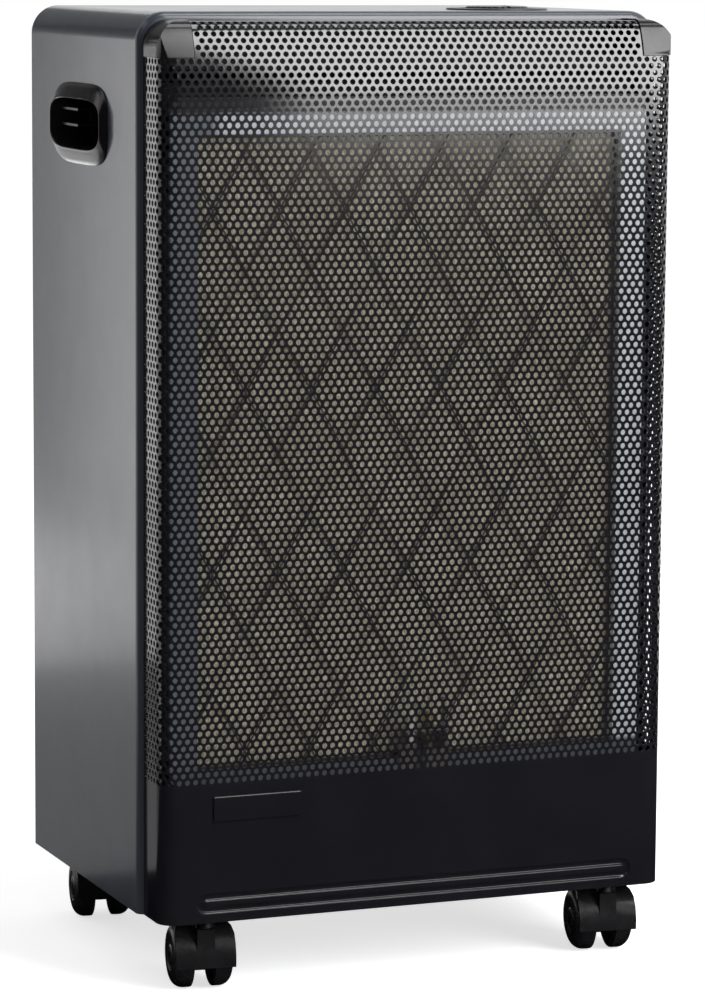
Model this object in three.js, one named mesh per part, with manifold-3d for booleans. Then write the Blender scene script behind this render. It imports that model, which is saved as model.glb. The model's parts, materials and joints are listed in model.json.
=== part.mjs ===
// Portable gas cabinet heater: a folded steel casing on four twin-wheel castors, a perforated
// bowed front over a catalytic burner, and a bottle bay behind it that is closed by a lift-off cover.
// Millimetres. +Z is up, the grille faces -Y and +X is to the viewer's right. The origin is at floor
// level under the middle of the heater.
import * as THREE from 'three';
import { mergeGeometries, mergeVertices } from 'three/addons/utils/BufferGeometryUtils.js';
import Module from 'manifold-3d';

const wasm = await Module();
wasm.setup();

// ---- Driving dimensions ------------------------------------------------------------------------

// Casing
const casingWidth = 420;
const casingDepth = 260;
const casingHeight = 673;
const casingCornerRadius = 22;
const casingCurlRadius = 6;
const frontFlangeWidth = 14;
const rearCurlRadius = 3;
const rearFlangeWidth = 10;
const sheetThickness = 1.2;
const seatGap = 0.3; // left between pieces that touch

// Front
const frontReach = 42; // from the casing's front edge to the face
const frontSideInset = 4.5;
const frontTopInset = 6.5;
const frontPlanRadius = 14;
const frontCornerRadius = 20;
const frontTopRadius = 10;
const frontLeanRadius = 110; // the face leans back above this large radius
const frontLeanAngle = THREE.MathUtils.degToRad(24);
const plainHeight = 104; // plain lower part of the front
const holePitch = 52; // the real sheet has 6.4 mm; wider here, with holes in proportion
const holeShare = 0.62; // hole across its corners, as a share of the pitch
const holeEdgeMargin = 5;
const grooveHeight = 15;
const grooveLength = 356;
const grooveWidth = 5.5;
const grooveDepth = 2;
const grooveRise = 7; // from the bottom edge to the groove

// Corner caps
const capWidth = 25.5;
const capHeight = 26;
const capProud = 1;
const capThickness = 3;

// Side handles
const handleSetback = 132; // behind the casing's front edge
const handleDrop = 87; // below the casing's top
const bezelLength = 128;
const bezelHeight = 62;
const bezelProud = 6;
const gripLength = 118;
const gripHeight = 37;
const gripDepth = 28;
const gripWall = 2;
const gripRibLength = 46;
const gripRibDepth = 7;
const gripRibThickness = 2.4;
const gripRibRises = [10, -2]; // from the cup's middle
const gripHolePlay = 0.8; // round the cup where it passes the wall

// Burner
const frameWidth = 384;
const frameHeight = 511;
const frameRise = 100; // from the casing's bottom edge
const frameSideBand = 21;
const frameTopBand = 27;
const frameBottomBand = 10;
const frameSetback = 21; // behind the face of the front
const burnerDepth = 31;
const burnerSheet = 1;
const padThickness = 14;
const frameCornerRadius = 6;
const padCornerRadius = 8;
const padSetback = 9; // behind the frame
const guardThickness = 2.5;
const guardBar = 3;
const guardPitch = 52;
const guardAngle = THREE.MathUtils.degToRad(60);
const baffleRise = 10; // its rear edge above the burner frame
const baffleSlope = 16; // from its rear edge up to its front edge
const baffleLips = { front: 6, rear: 8 };

// Gas tap and its knob
const knobFromCentre = 100;
const knobSetback = 55; // behind the casing's front edge
const dishDiameter = 78;
const dishRimThickness = 1;
const wellDiameter = 58;
const dishWall = 1.6;
const knobDiameter = 50;
const knobHeight = 12.5;
const knobProud = 3.5;
const knobTravel = 4;
const knobLift = 0.7; // left under the pressed knob
const knobRoof = 4; // of the knob above its socket
const knobFlutes = 12;
const fluteDiameter = 4.4;
const knobMark = { width: 2.4, depth: 3, from: 0.35 }; // from: share of the radius
const spindleDiameter = 8;
const runningGap = 0.7; // round a turning shaft
const valveWidth = 44;
const valveDepth = 30;
const valveHeight = 34;
const valveNeckHeight = 12;
const valveNeckDiameter = 22;
const spindleDepth = 6; // of the spindle in the neck
const valveBoreDepth = 16;
const outletLength = 8;
const supplyOutlet = { across: -10, diameter: 14 }; // across: from the knob's axis
const pilotOutlet = { across: 12, diameter: 9 };
const supplyPipeDiameter = 8;
const pilotPipeDiameter = 4;
const injectorHeight = 330; // above the floor
const hoseNozzleLength = 34;
const nozzleDiameter = 9;
const nozzleFlange = { diameter: 16, thickness: 7 };
const nozzleBarbs = { count: 3, from: 14, pitch: 6, proud: 0.9 };
const sparkBlock = { width: 16, depth: 22, rise: 4, spade: 6 }; // rise: above the tap's underside
const injectorCollar = { diameter: 26, thickness: 4 };
const injectorBody = { diameter: 15, length: 18 };
const jetReach = 4; // of the jet beyond the burner's back wall

// Bends of both pipes, from the tap down. Each is [across, forwards, down].
const supplyBends = [[0, 0, 12], [3, 8, 70]]; // from the outlet
const supplyEndBends = [[0, 10, 60], [0, 10, 24], [0, 13, 6]]; // from the injector, upwards
const pilotBends = [[0, 0, 12], [10, 14, 60]]; // from the outlet
const pilotLowBends = { beside: [14, 20], above: [-30, 22, 70], behind: [12, 16, 6] };

// Pilot
const pilotFromCentre = 12;
const pilotRise = 32; // above the burner frame's bottom edge
const pilotShelfWidth = 40;
const pilotShelfDepth = 13;
const pilotSheet = 1.5;
const pilotPitch = 13; // electrode, burner and thermocouple stand side by side
const pilotAhead = 7; // their axes, ahead of the plate
const pilotBurnerDrop = 16; // of the pilot burner's shank below the shelf
const pilotPassDrop = 23; // the pilot pipe passes the bulkhead below the burner frame
const pilotPassWidth = 44;
const pilotPassHeight = 22;

// Base
const castorHeight = 57;
const baseLipHeight = 22;
const bottleSeatDiameter = 206;
const bottleSeatHeight = 2.5;
const bottleSeatFoot = 10; // width of the seat's bead at its foot
const bottleSeatCrest = 4;
const ventSlot = { length: 40, width: 8, pitch: 60, fromSeam: 24 };

// Bulkhead, rear rail and rear cover
const bulkheadFlange = 12;
const railHeight = 28;
const railDepth = 12;
const coverHeight = 556;
const coverFlange = 9;
const louvreCount = 6;
const louvrePitch = 26;
const louvreLength = 250;
const louvreHeight = 9;
const louvreProud = 5;
const louvreLevels = [0.2, 0.76]; // lowest louvre of each bank, as a share of the cover's height
const coverCornerRadius = 6;
const coverClearance = 0.5;

// Castors
const castorFromSide = 44; // swivel axis, in from the casing's side
const castorFromFront = 19; // front swivel axis, behind the face of the front
const castorFromRear = 46;
const castorTurn = THREE.MathUtils.degToRad(172); // at rest the wheels trail towards the rear
const castorTrail = 18;
const castorWheelDiameter = 50;
const castorWheelWidth = 15.5;
const castorWebWidth = 13.5;
const castorWheelGap = 0.6;
const castorAxleDiameter = 4;
const castorStemDiameter = 10;
const castorStemLength = 52;
const castorStemRise = 30; // from the floor to the stem's lower end
const castorCollarDiameter = 16;
const castorCollarHeight = 8;
const castorSocketDiameter = 20;
const castorSocketHeight = 24;
const castorHoodGap = 1.2; // between hood and wheels
const castorHoodThickness = 2.2;
const castorHubDiameter = 24;
const castorShoulder = 9; // radius of the canopy's upper corners
const stemPlay = 0.18; // round the stem in its socket
const swivelPlay = 0.6; // round the stem in the hood
const axlePlay = 0.35;

// ---- Places that follow from them --------------------------------------------------------------

const halfCasing = casingWidth / 2;
const baseZ = castorHeight;
const topZ = baseZ + casingHeight;
const frontY = -(casingDepth + frontReach) / 2;
const seamY = frontY + frontReach;
const rearY = seamY + casingDepth;
const innerSideX = halfCasing - sheetThickness - seatGap;
const innerFrontY = seamY + sheetThickness + seatGap;
const innerRearY = rearY - sheetThickness - seatGap;
const frontHalf = halfCasing - frontSideInset;
const frontTopZ = topZ - frontTopInset;
const floorZ = baseZ + 1;
const floorTopZ = floorZ + sheetThickness;
const frameY = frontY + frameSetback;
const frameBottomZ = baseZ + frameRise;
const frameTopZ = frameBottomZ + frameHeight;
const burnerBackY = frameY + burnerDepth;
const bulkheadY = burnerBackY + seatGap;
const burnerHalf = frameWidth / 2 - frameSideBand;
const burnerBottomZ = frameBottomZ + frameBottomBand;
const burnerTopZ = frameTopZ - frameTopBand;
const knobX = knobFromCentre;
const knobY = seamY + knobSetback;
const dishTopZ = topZ + seatGap + dishRimThickness;
const knobBottomZ = topZ + knobProud - knobHeight;
const wellFloorZ = knobBottomZ - knobTravel - knobLift;
const wellDepth = dishTopZ - wellFloorZ;
const valveTopZ = wellFloorZ - dishWall - seatGap;
const handleY = seamY + handleSetback;
const handleZ = topZ - handleDrop;

const roundSteps = 5; // facets in a quarter of a bend
const leanSteps = 3; // facets in the front's gentle lean
const shaftSteps = 12; // facets round a shaft

// ---- Materials ---------------------------------------------------------------------------------

function finish(color, roughness, metalness) {
  return new THREE.MeshStandardMaterial({ color, roughness, metalness });
}

const casingPaint = finish(0x3b3c40, 0.38, 0.2);
const frontPaint = finish(0x17171a, 0.3, 0.2);
const blackPlastic = finish(0x141416, 0.35, 0);
const greyPlastic = finish(0x2b2b2e, 0.45, 0);
const brightSteel = finish(0xc9cbcc, 0.28, 0.9);
const galvanised = finish(0x9ea2a4, 0.5, 0.8);
const blackWire = finish(0x101010, 0.5, 0.4);
const fibrePad = finish(0xb9a88c, 0.95, 0);
const brass = finish(0xb08d4a, 0.35, 0.9);
const aluminium = finish(0xb6b8ba, 0.4, 0.9);
const ceramic = finish(0xe9e6de, 0.3, 0);
const axleSteel = finish(0x8d9092, 0.35, 0.9);

// ---- Solids ------------------------------------------------------------------------------------

// Turns a closed geometry into a solid that can be joined and cut.
function toSolid(geometry) {
  const bare = geometry.clone();
  bare.deleteAttribute('normal');
  bare.deleteAttribute('uv');
  const merged = mergeVertices(bare, 1e-4);
  const index = merged.index.array;
  const triVerts = [];
  for (let i = 0; i < index.length; i += 3) {
    const [a, b, c] = [index[i], index[i + 1], index[i + 2]];
    if (a !== b && b !== c && c !== a) triVerts.push(a, b, c);
  }
  return new wasm.Manifold(new wasm.Mesh({
    numProp: 3,
    vertProperties: Float32Array.from(merged.attributes.position.array),
    triVerts: Uint32Array.from(triVerts),
  }));
}

function toGeometry(solid) {
  const { vertProperties, triVerts } = solid.getMesh();
  const geometry = new THREE.BufferGeometry();
  geometry.setAttribute('position', new THREE.BufferAttribute(vertProperties, 3));
  geometry.setIndex(new THREE.BufferAttribute(triVerts, 1));
  const faceted = geometry.toNonIndexed();
  faceted.computeVertexNormals();
  return faceted;
}

function part(name, solid, material) {
  const mesh = new THREE.Mesh(toGeometry(solid), material);
  mesh.name = name;
  return mesh;
}

// Joins closed rings of equal length into one skin, and closes both ends. The outline gives the
// ends' triangles where a ring is not convex.
function loft(rings, outline = null) {
  const size = rings[0].length;
  const points = rings.flat();
  const faces = [];
  for (let r = 0; r + 1 < rings.length; r += 1) {
    for (let i = 0; i < size; i += 1) {
      const j = (i + 1) % size;
      const [a, b, c, d] = [r * size + i, r * size + j, (r + 1) * size + j, (r + 1) * size + i];
      faces.push([a, b, c], [a, c, d]);
    }
  }
  const fan = [];
  for (let i = 1; i + 1 < size; i += 1) fan.push([0, i, i + 1]);
  const ends = outline ? THREE.ShapeUtils.triangulateShape(outline, []) : fan;
  const turned = outline && THREE.ShapeUtils.isClockWise(outline);
  const last = (rings.length - 1) * size;
  for (const [a, b, c] of ends) {
    const [p, q] = turned ? [b, c] : [c, b];
    faces.push([a, p, q], [last + a, last + q, last + p]);
  }
  let volume = 0;
  for (const [a, b, c] of faces) {
    volume += points[a].dot(new THREE.Vector3().crossVectors(points[b], points[c]));
  }
  const index = volume > 0 ? faces.flat() : faces.flatMap(([a, b, c]) => [a, c, b]);
  const geometry = new THREE.BufferGeometry().setFromPoints(points);
  geometry.setIndex(index);
  return toSolid(geometry);
}

// Prisms of a drawn shape: along Z from an (x, y) shape, along Y from (x, z), along X from (y, z).
function prism(shape, depth) {
  return new THREE.ExtrudeGeometry(shape, { depth, bevelEnabled: false });
}

function prismZ(shape, z0, z1) {
  return prism(shape, z1 - z0).translate(0, 0, z0);
}

const axisX = new THREE.Vector3(1, 0, 0);
const axisY = new THREE.Vector3(0, 1, 0);
const axisZ = new THREE.Vector3(0, 0, 1);
const backY = new THREE.Vector3(0, -1, 0);

function prismY(shape, y0, y1) {
  const turn = new THREE.Matrix4().makeBasis(axisX, axisZ, backY);
  return prism(shape, y1 - y0).applyMatrix4(turn).translate(0, y1, 0);
}

function prismX(shape, x0, x1) {
  const turn = new THREE.Matrix4().makeBasis(axisY, axisZ, axisX);
  return prism(shape, x1 - x0).applyMatrix4(turn).translate(x0, 0, 0);
}

function box(x0, x1, y0, y1, z0, z1) {
  const geometry = new THREE.BoxGeometry(x1 - x0, y1 - y0, z1 - z0);
  return geometry.translate((x0 + x1) / 2, (y0 + y1) / 2, (z0 + z1) / 2);
}

function boxSolid(...sides) {
  return toSolid(box(...sides));
}

// A round bar or hole that runs up from (x, y, z).
function post(radius, x, y, z0, z1, steps = shaftSteps) {
  const geometry = new THREE.CylinderGeometry(radius, radius, z1 - z0, steps);
  return geometry.rotateX(Math.PI / 2).translate(x, y, (z0 + z1) / 2);
}

// The same along X.
function rod(radius, x0, x1, y, z, steps = shaftSteps) {
  const geometry = new THREE.CylinderGeometry(radius, radius, x1 - x0, steps);
  return geometry.rotateZ(Math.PI / 2).translate((x0 + x1) / 2, y, z);
}

// A turned piece: the profile is a list of [radius, height] from axis to axis, or a closed loop.
function turned(profile, steps) {
  const points = profile.map(([radius, height]) => new THREE.Vector2(radius, height));
  return new THREE.LatheGeometry(points, steps).rotateX(Math.PI / 2);
}

// Points along an arc, both ends included.
function arc(x, y, radius, from, to, steps = roundSteps) {
  const points = [];
  for (let i = 0; i <= steps; i += 1) {
    const angle = from + ((to - from) * i) / steps;
    points.push([x + radius * Math.cos(angle), y + radius * Math.sin(angle)]);
  }
  return points;
}

const quarter = Math.PI / 2;

function outline(points) {
  return new THREE.Shape(points.map(([x, y]) => new THREE.Vector2(x, y)));
}

function rectangle(x0, y0, x1, y1, radius = 0, steps = 3) {
  if (radius === 0) return outline([[x0, y0], [x1, y0], [x1, y1], [x0, y1]]);
  return outline([
    ...arc(x1 - radius, y0 + radius, radius, -quarter, 0, steps),
    ...arc(x1 - radius, y1 - radius, radius, 0, quarter, steps),
    ...arc(x0 + radius, y1 - radius, radius, quarter, quarter * 2, steps),
    ...arc(x0 + radius, y0 + radius, radius, quarter * 2, quarter * 3, steps),
  ]);
}

// ---- Casing ------------------------------------------------------------------------------------

// The strip that the casing is folded from, seen from its end: front flange, curl, wall, small
// rear curl and rear flange. Each point is [distance behind the front edge, distance in from outside].
function casingSection() {
  const outside = [[0, frontFlangeWidth]];
  const inside = [[sheetThickness, frontFlangeWidth]];
  for (let i = 0; i <= 4; i += 1) {
    const angle = (i / 4) * (Math.PI / 2);
    for (const [side, radius] of [[outside, casingCurlRadius], [inside, casingCurlRadius - sheetThickness]]) {
      side.push([casingCurlRadius - radius * Math.cos(angle), casingCurlRadius - radius * Math.sin(angle)]);
    }
  }
  for (let i = 0; i <= 2; i += 1) {
    const angle = (i / 2) * (Math.PI / 2);
    const centre = casingDepth - rearCurlRadius;
    for (const [side, radius] of [[outside, rearCurlRadius], [inside, rearCurlRadius - sheetThickness]]) {
      side.push([centre + radius * Math.sin(angle), rearCurlRadius - radius * Math.cos(angle)]);
    }
  }
  outside.push([casingDepth, rearFlangeWidth]);
  inside.push([casingDepth - sheetThickness, rearFlangeWidth]);
  return [...outside, ...inside.reverse()];
}

// Stations up the left side, over the top and down the right: a point and the way in from it.
function casingPath() {
  const path = [{ x: -halfCasing, z: baseZ, inX: 1, inZ: 0 }];
  for (const side of [-1, 1]) {
    for (let i = 0; i <= roundSteps; i += 1) {
      const share = side < 0 ? i / roundSteps : 1 - i / roundSteps;
      const angle = share * (Math.PI / 2);
      const [outX, outZ] = [side * Math.cos(angle), Math.sin(angle)];
      path.push({
        x: side * (halfCasing - casingCornerRadius) + casingCornerRadius * outX,
        z: topZ - casingCornerRadius + casingCornerRadius * outZ,
        inX: -outX,
        inZ: -outZ,
      });
    }
  }
  path.push({ x: halfCasing, z: baseZ, inX: -1, inZ: 0 });
  return path;
}

function cabinetShell() {
  const section = casingSection();
  const rings = casingPath().map((at) => section.map(([behind, inset]) => (
    new THREE.Vector3(at.x + at.inX * inset, seamY + behind, at.z + at.inZ * inset))));
  let shell = loft(rings, section.map(([behind, inset]) => new THREE.Vector2(behind, inset)));
  const grip = gripOutline(gripWall + gripHolePlay);
  const gripHole = prismX(grip, -halfCasing - 5, halfCasing + 5);
  shell = shell.subtract(toSolid(gripHole));
  const dishHole = post(wellDiameter / 2 + dishWall + seatGap, knobX, knobY, topZ - 5, topZ + 5, 24);
  return shell.subtract(toSolid(dishHole));
}

// ---- Front -------------------------------------------------------------------------------------

// The front's outer form is what three drawn prisms share. An inset draws the same form further in.
function frontForm(inset, behind = seamY, below = baseZ) {
  const half = frontHalf - inset;
  const face = frontY + inset;
  const top = frontTopZ - inset;

  const bend = frontPlanRadius - inset;
  const plan = outline([
    [half, behind], [-half, behind],
    ...arc(-half + bend, face + bend, bend, quarter * 2, quarter * 3),
    ...arc(half - bend, face + bend, bend, quarter * 3, quarter * 4),
  ]);

  // The face leans back above leanZ and runs tangent into the small radius under the top.
  const leanReach = frontLeanRadius - frontTopRadius;
  const lipY = frontY + frontLeanRadius - leanReach * Math.cos(frontLeanAngle);
  const lipZ = frontTopZ - frontTopRadius;
  const leanZ = lipZ - leanReach * Math.sin(frontLeanAngle);
  const tangent = quarter * 2 - frontLeanAngle;
  const side = outline([
    [behind, below], [behind, top],
    ...arc(lipY, lipZ, frontTopRadius - inset, quarter, tangent, 4),
    ...arc(frontY + frontLeanRadius, leanZ, frontLeanRadius - inset, tangent, quarter * 2, leanSteps).slice(1),
    [face, below],
  ]);

  const corner = frontCornerRadius - inset;
  const front = outline([
    [-half, below], [half, below],
    ...arc(half - corner, top - corner, corner, 0, quarter),
    ...arc(-half + corner, top - corner, corner, quarter, quarter * 2),
  ]);

  return toSolid(prismZ(plan, below, top + 1))
    .intersect(toSolid(prismX(side, -half - 1, half + 1)))
    .intersect(toSolid(prismY(front, face - 1, behind)));
}

// One ring-shaped groove pressed into the plain part, as a solid that reaches the given depth.
function grooveRing(grow, depth) {
  const bottom = baseZ + grooveRise;
  const half = grooveLength / 2;
  const inset = grooveWidth + grow;
  const outer = rectangle(-half - grow, bottom - grow, half + grow, bottom + grooveHeight + grow, inset);
  const island = rectangle(-half + inset, bottom + inset, half - inset, bottom + grooveHeight - inset);
  const [y0, y1] = [frontY - 1, frontY + depth];
  return toSolid(prismY(outer, y0, y1)).subtract(toSolid(prismY(island, y0 - 1, y1 + 1)));
}

// Rows of six-sided holes, each row shifted by half a pitch: on the face, and one column per flank.
function perforations() {
  const radius = (holePitch * holeShare) / 2;
  const hexagon = (x, y, narrow = 1) => outline([0, 1, 2, 3, 4, 5].map((i) => {
    const angle = ((i + 0.5) * Math.PI) / 3;
    return [x + radius * narrow * Math.cos(angle), y + radius * Math.sin(angle)];
  }));
  const holes = [];
  const rowPitch = holePitch * Math.sin(Math.PI / 3);
  const firstZ = baseZ + plainHeight + radius;
  const rows = Math.floor((frontTopZ - frontTopRadius - radius - firstZ) / rowPitch) + 1;
  const reach = frontHalf - frontPlanRadius - holeEdgeMargin - radius;
  const flankY = seamY - (frontReach - frontPlanRadius) / 2;
  const flankRadius = Math.min(radius, (frontReach - frontPlanRadius) / 2 - 2);
  const capBottomZ = frontTopZ - capHeight;
  for (let row = 0; row < rows; row += 1) {
    const z = firstZ + row * rowPitch;
    const shift = row % 2 ? holePitch / 2 : 0;
    const meetsCap = z + radius + holeEdgeMargin > capBottomZ;
    const beside = meetsCap ? frontHalf - capWidth - holeEdgeMargin - radius : reach;
    for (let column = -Math.ceil(reach / holePitch); column * holePitch + shift <= beside; column += 1) {
      const x = column * holePitch + shift;
      if (x >= -beside) holes.push(prismY(hexagon(x, z), frontY - 1, frontY + frontPlanRadius));
    }
    if (row % 2 === 0 && z + flankRadius + holeEdgeMargin < capBottomZ) {
      const slot = hexagon(flankY, z, flankRadius / radius);
      holes.push(prismX(slot, -halfCasing, -frontHalf + frontPlanRadius));
      holes.push(prismX(slot, frontHalf - frontPlanRadius, halfCasing));
    }
  }
  return toSolid(mergeGeometries(holes));
}

// The block that a corner cap takes out of the sheet's corner.
function capBlock(side, gap) {
  const inner = frontHalf - capWidth - gap;
  const outer = frontHalf + 10;
  const [x0, x1] = side < 0 ? [-outer, -inner] : [inner, outer];
  return boxSolid(x0, x1, frontY - 10, seamY + 10, frontTopZ - capHeight - gap, frontTopZ + 10);
}

function frontPanel() {
  const back = seamY - seatGap;
  let sheet = frontForm(0, back).subtract(grooveRing(0, grooveDepth));
  const room = frontForm(sheetThickness, back + 5, baseZ - 5);
  sheet = sheet.subtract(room.subtract(grooveRing(sheetThickness, grooveDepth + sheetThickness)));
  for (const side of [-1, 1]) sheet = sheet.subtract(capBlock(side, seatGap));
  return sheet.subtract(perforations());
}

function cornerCap(side) {
  const back = seamY - seatGap;
  const moulding = frontForm(-capProud, back).intersect(capBlock(side, 0));
  return moulding.subtract(frontForm(capThickness - capProud, back + 5, baseZ - 5));
}

// ---- Side handles ------------------------------------------------------------------------------

// A flat-topped outline with bulging ends.
function barrel(halfLength, halfHeight, steps = 24) {
  const points = [];
  for (let i = 0; i < steps; i += 1) {
    const angle = ((i + 0.5) / steps) * Math.PI * 2;
    const [c, s] = [Math.cos(angle), Math.sin(angle)];
    points.push([
      halfLength * Math.sign(c) * Math.sqrt(Math.abs(c)),
      halfHeight * Math.sign(s) * Math.sqrt(Math.abs(s)),
    ]);
  }
  return points;
}

function gripOutline(grow) {
  const points = barrel(gripLength / 2 + grow, gripHeight / 2 + grow);
  return new THREE.Shape(points.map(([along, up]) => new THREE.Vector2(handleY + along, handleZ + up)));
}

// Bezel, rim and finger cup in one moulding. Each ring is [length, height, distance out of the wall].
function sideHandle(side) {
  const wallIn = -sheetThickness - seatGap;
  const rings = [
    [gripLength - 4 + gripWall * 2, gripHeight - 3 + gripWall * 2, -gripDepth - gripWall],
    [gripLength + gripWall * 2, gripHeight + gripWall * 2, wallIn],
    [gripLength + gripWall * 2, gripHeight + gripWall * 2, seatGap],
    [bezelLength, bezelHeight, seatGap],
    [bezelLength - 1, bezelHeight - 2, seatGap + 1],
    [gripLength + 4, gripHeight + 4, bezelProud - 0.6],
    [gripLength + 2, gripHeight + 2, bezelProud],
    [gripLength, gripHeight, bezelProud - 0.8],
    [gripLength - 4, gripHeight - 3, -gripDepth],
  ];
  let moulding = loft(rings.map(([length, height, out]) => (
    barrel(length / 2, height / 2).map(([along, up]) => (
      new THREE.Vector3(side * (halfCasing + out), handleY + along, handleZ + up))))));
  for (const rise of gripRibRises) {
    const inner = halfCasing - gripDepth - gripWall / 2;
    const [x0, x1] = [side * inner, side * (inner + gripRibDepth)].sort((a, b) => a - b);
    const rib = box(x0, x1, handleY, handleY + gripRibLength,
      handleZ + rise - gripRibThickness / 2, handleZ + rise + gripRibThickness / 2);
    moulding = moulding.add(toSolid(rib));
  }
  return moulding;
}

// ---- Base --------------------------------------------------------------------------------------

// The floor's outline: full width inside the casing, narrower where it passes the front flanges.
function floorOutline(inset) {
  const wide = innerSideX - inset;
  const narrow = halfCasing - frontFlangeWidth - seatGap - inset;
  const front = frontY + sheetThickness + grooveDepth + seatGap * 2 + inset;
  const step = innerFrontY + inset;
  const rear = innerRearY - inset;
  const [frontCut, rearCut] = [casingCurlRadius, rearCurlRadius];
  const right = [
    [narrow, front], [narrow, step], [wide - frontCut, step], [wide, step + frontCut],
    [wide, rear - rearCut], [wide - rearCut, rear],
  ];
  const left = right.map(([x, y]) => [-x, y]).reverse();
  return outline([...right, ...left]);
}

function castorPlaces() {
  const across = halfCasing - castorFromSide;
  const places = [];
  for (const [end, y] of [['front', frontY + castorFromFront], ['rear', rearY - castorFromRear]]) {
    for (const [side, x] of [['left', -across], ['right', across]]) {
      places.push({ name: `${end}_${side}`, x, y });
    }
  }
  return places;
}

function baseTray() {
  let tray = toSolid(prismZ(floorOutline(0), floorZ, floorZ + baseLipHeight));
  tray = tray.subtract(toSolid(prismZ(floorOutline(sheetThickness), floorTopZ, floorZ + baseLipHeight + 1)));
  const seatY = (bulkheadY + bulkheadFlange + innerRearY) / 2;
  const seatRadius = bottleSeatDiameter / 2;
  const [foot, crest] = [bottleSeatFoot / 2, bottleSeatCrest / 2];
  const bead = turned([[seatRadius - foot, -0.5], [seatRadius + foot, -0.5],
    [seatRadius + crest, bottleSeatHeight], [seatRadius - crest, bottleSeatHeight],
    [seatRadius - foot, -0.5]], 24);
  tray = tray.add(toSolid(bead.translate(0, seatY, floorTopZ)));
  for (const x of [-ventSlot.pitch, 0, ventSlot.pitch]) {
    for (const y of [seamY + ventSlot.fromSeam, seatY]) {
      tray = tray.subtract(boxSolid(x - ventSlot.length / 2, x + ventSlot.length / 2,
        y - ventSlot.width / 2, y + ventSlot.width / 2, floorZ - 1, floorTopZ + 1));
    }
  }
  const socketTop = castorHeight + castorSocketHeight;
  for (const { x, y } of castorPlaces()) {
    tray = tray.add(toSolid(post(castorSocketDiameter / 2, x, y, floorZ, socketTop)));
  }
  for (const { x, y } of castorPlaces()) {
    const bore = castorStemDiameter / 2 + stemPlay;
    tray = tray.subtract(toSolid(post(bore, x, y, floorZ - 1, socketTop + 1)));
  }
  return tray;
}

// ---- Bulkhead, rail and cover ------------------------------------------------------------------

// What fits inside the casing's arch, seen from the front, at an inset from its outside.
function archInside(inset) {
  const [side, top, radius] = [halfCasing - inset, topZ - inset, casingCornerRadius - inset];
  return outline([
    [-side, baseZ], [side, baseZ],
    ...arc(side - radius, top - radius, radius, 0, quarter),
    ...arc(-side + radius, top - radius, radius, quarter, quarter * 2),
  ]);
}

// A sheet across the casing with its side edges folded back, holed for the injector and the pilot.
function bulkhead() {
  const flangeY = bulkheadY + bulkheadFlange;
  const lipInside = sheetThickness + seatGap;
  const wide = innerSideX - lipInside;
  const [web, fold] = [bulkheadY + sheetThickness, wide - sheetThickness];
  const channel = outline([
    [-wide, bulkheadY], [wide, bulkheadY], [wide, flangeY], [fold, flangeY],
    [fold, web], [-fold, web], [-fold, flangeY], [-wide, flangeY],
  ]);
  let sheet = toSolid(prismZ(channel, floorTopZ + seatGap, topZ));
  sheet = sheet.intersect(toSolid(prismY(archInside(sheetThickness + seatGap), bulkheadY - 1, flangeY + 1)));
  const injectorHole = post(supplyPipeDiameter + 1, 0, 0, -20, 20).rotateX(Math.PI / 2);
  sheet = sheet.subtract(toSolid(injectorHole.translate(knobX, bulkheadY, injectorHeight)));
  const [across, up] = [pilotPassWidth / 2, pilotPassHeight / 2];
  const passZ = frameBottomZ - pilotPassDrop;
  const pilotHole = rectangle(pilotFromCentre - across, passZ - up, pilotFromCentre + across, passZ + up, 4);
  return sheet.subtract(toSolid(prismY(pilotHole, bulkheadY - 5, bulkheadY + 5)));
}

function rearRail() {
  const inset = rearCurlRadius + seatGap;
  const top = topZ - inset;
  const wide = halfCasing - inset;
  const back = innerRearY;
  const [lip, web, bottom] = [back - railDepth, back - sheetThickness, top - railHeight];
  const channel = outline([
    [back, bottom], [back, top], [lip, top], [lip, top - sheetThickness], [web, top - sheetThickness],
    [web, bottom + sheetThickness], [lip, bottom + sheetThickness], [lip, bottom],
  ]);
  const rail = toSolid(prismX(channel, -wide, wide));
  return rail.intersect(toSolid(prismY(archInside(inset), back - railDepth - 1, back + 1)));
}

// A shallow folded pan that fills the rear opening, with a rolled hand edge and a bank of louvres.
function rearCover() {
  const half = halfCasing - rearFlangeWidth - coverClearance;
  const bottom = floorZ + baseLipHeight + seatGap;
  const top = bottom + coverHeight;
  const outer = rearY - seatGap;
  const inner = outer - coverFlange;
  let pan = toSolid(prismY(rectangle(-half, bottom, half, top, coverCornerRadius), inner, outer));
  const hollow = rectangle(-half + sheetThickness, bottom + sheetThickness, half - sheetThickness,
    top - sheetThickness, coverCornerRadius - sheetThickness);
  pan = pan.subtract(toSolid(prismY(hollow, inner - 1, outer - sheetThickness)));
  for (const level of louvreLevels) {
    for (let i = 0; i < louvreCount / 2; i += 1) {
      const z = bottom + coverHeight * level + i * louvrePitch;
      pan = louvre(pan, z, outer);
    }
  }
  return pan;
}

// One louvre: a slot with a blade that slopes down behind it.
function louvre(pan, z, outer) {
  const back = outer - sheetThickness;
  const [top, bottom] = [z + louvreHeight / 2, z - louvreHeight / 2];
  const lip = top - sheetThickness * 1.6;
  const blade = outline([
    [back + sheetThickness / 2, top], [back - sheetThickness, top],
    [back - louvreProud - sheetThickness, bottom], [back - louvreProud, bottom],
    [back, lip], [back + sheetThickness / 2, lip],
  ]);
  const slot = rectangle(-louvreLength / 2, bottom, louvreLength / 2, lip);
  return pan
    .subtract(toSolid(prismY(slot, back - 1, outer + 1)))
    .add(toSolid(prismX(blade, -louvreLength / 2, louvreLength / 2)));
}

// ---- Burner ------------------------------------------------------------------------------------

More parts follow.
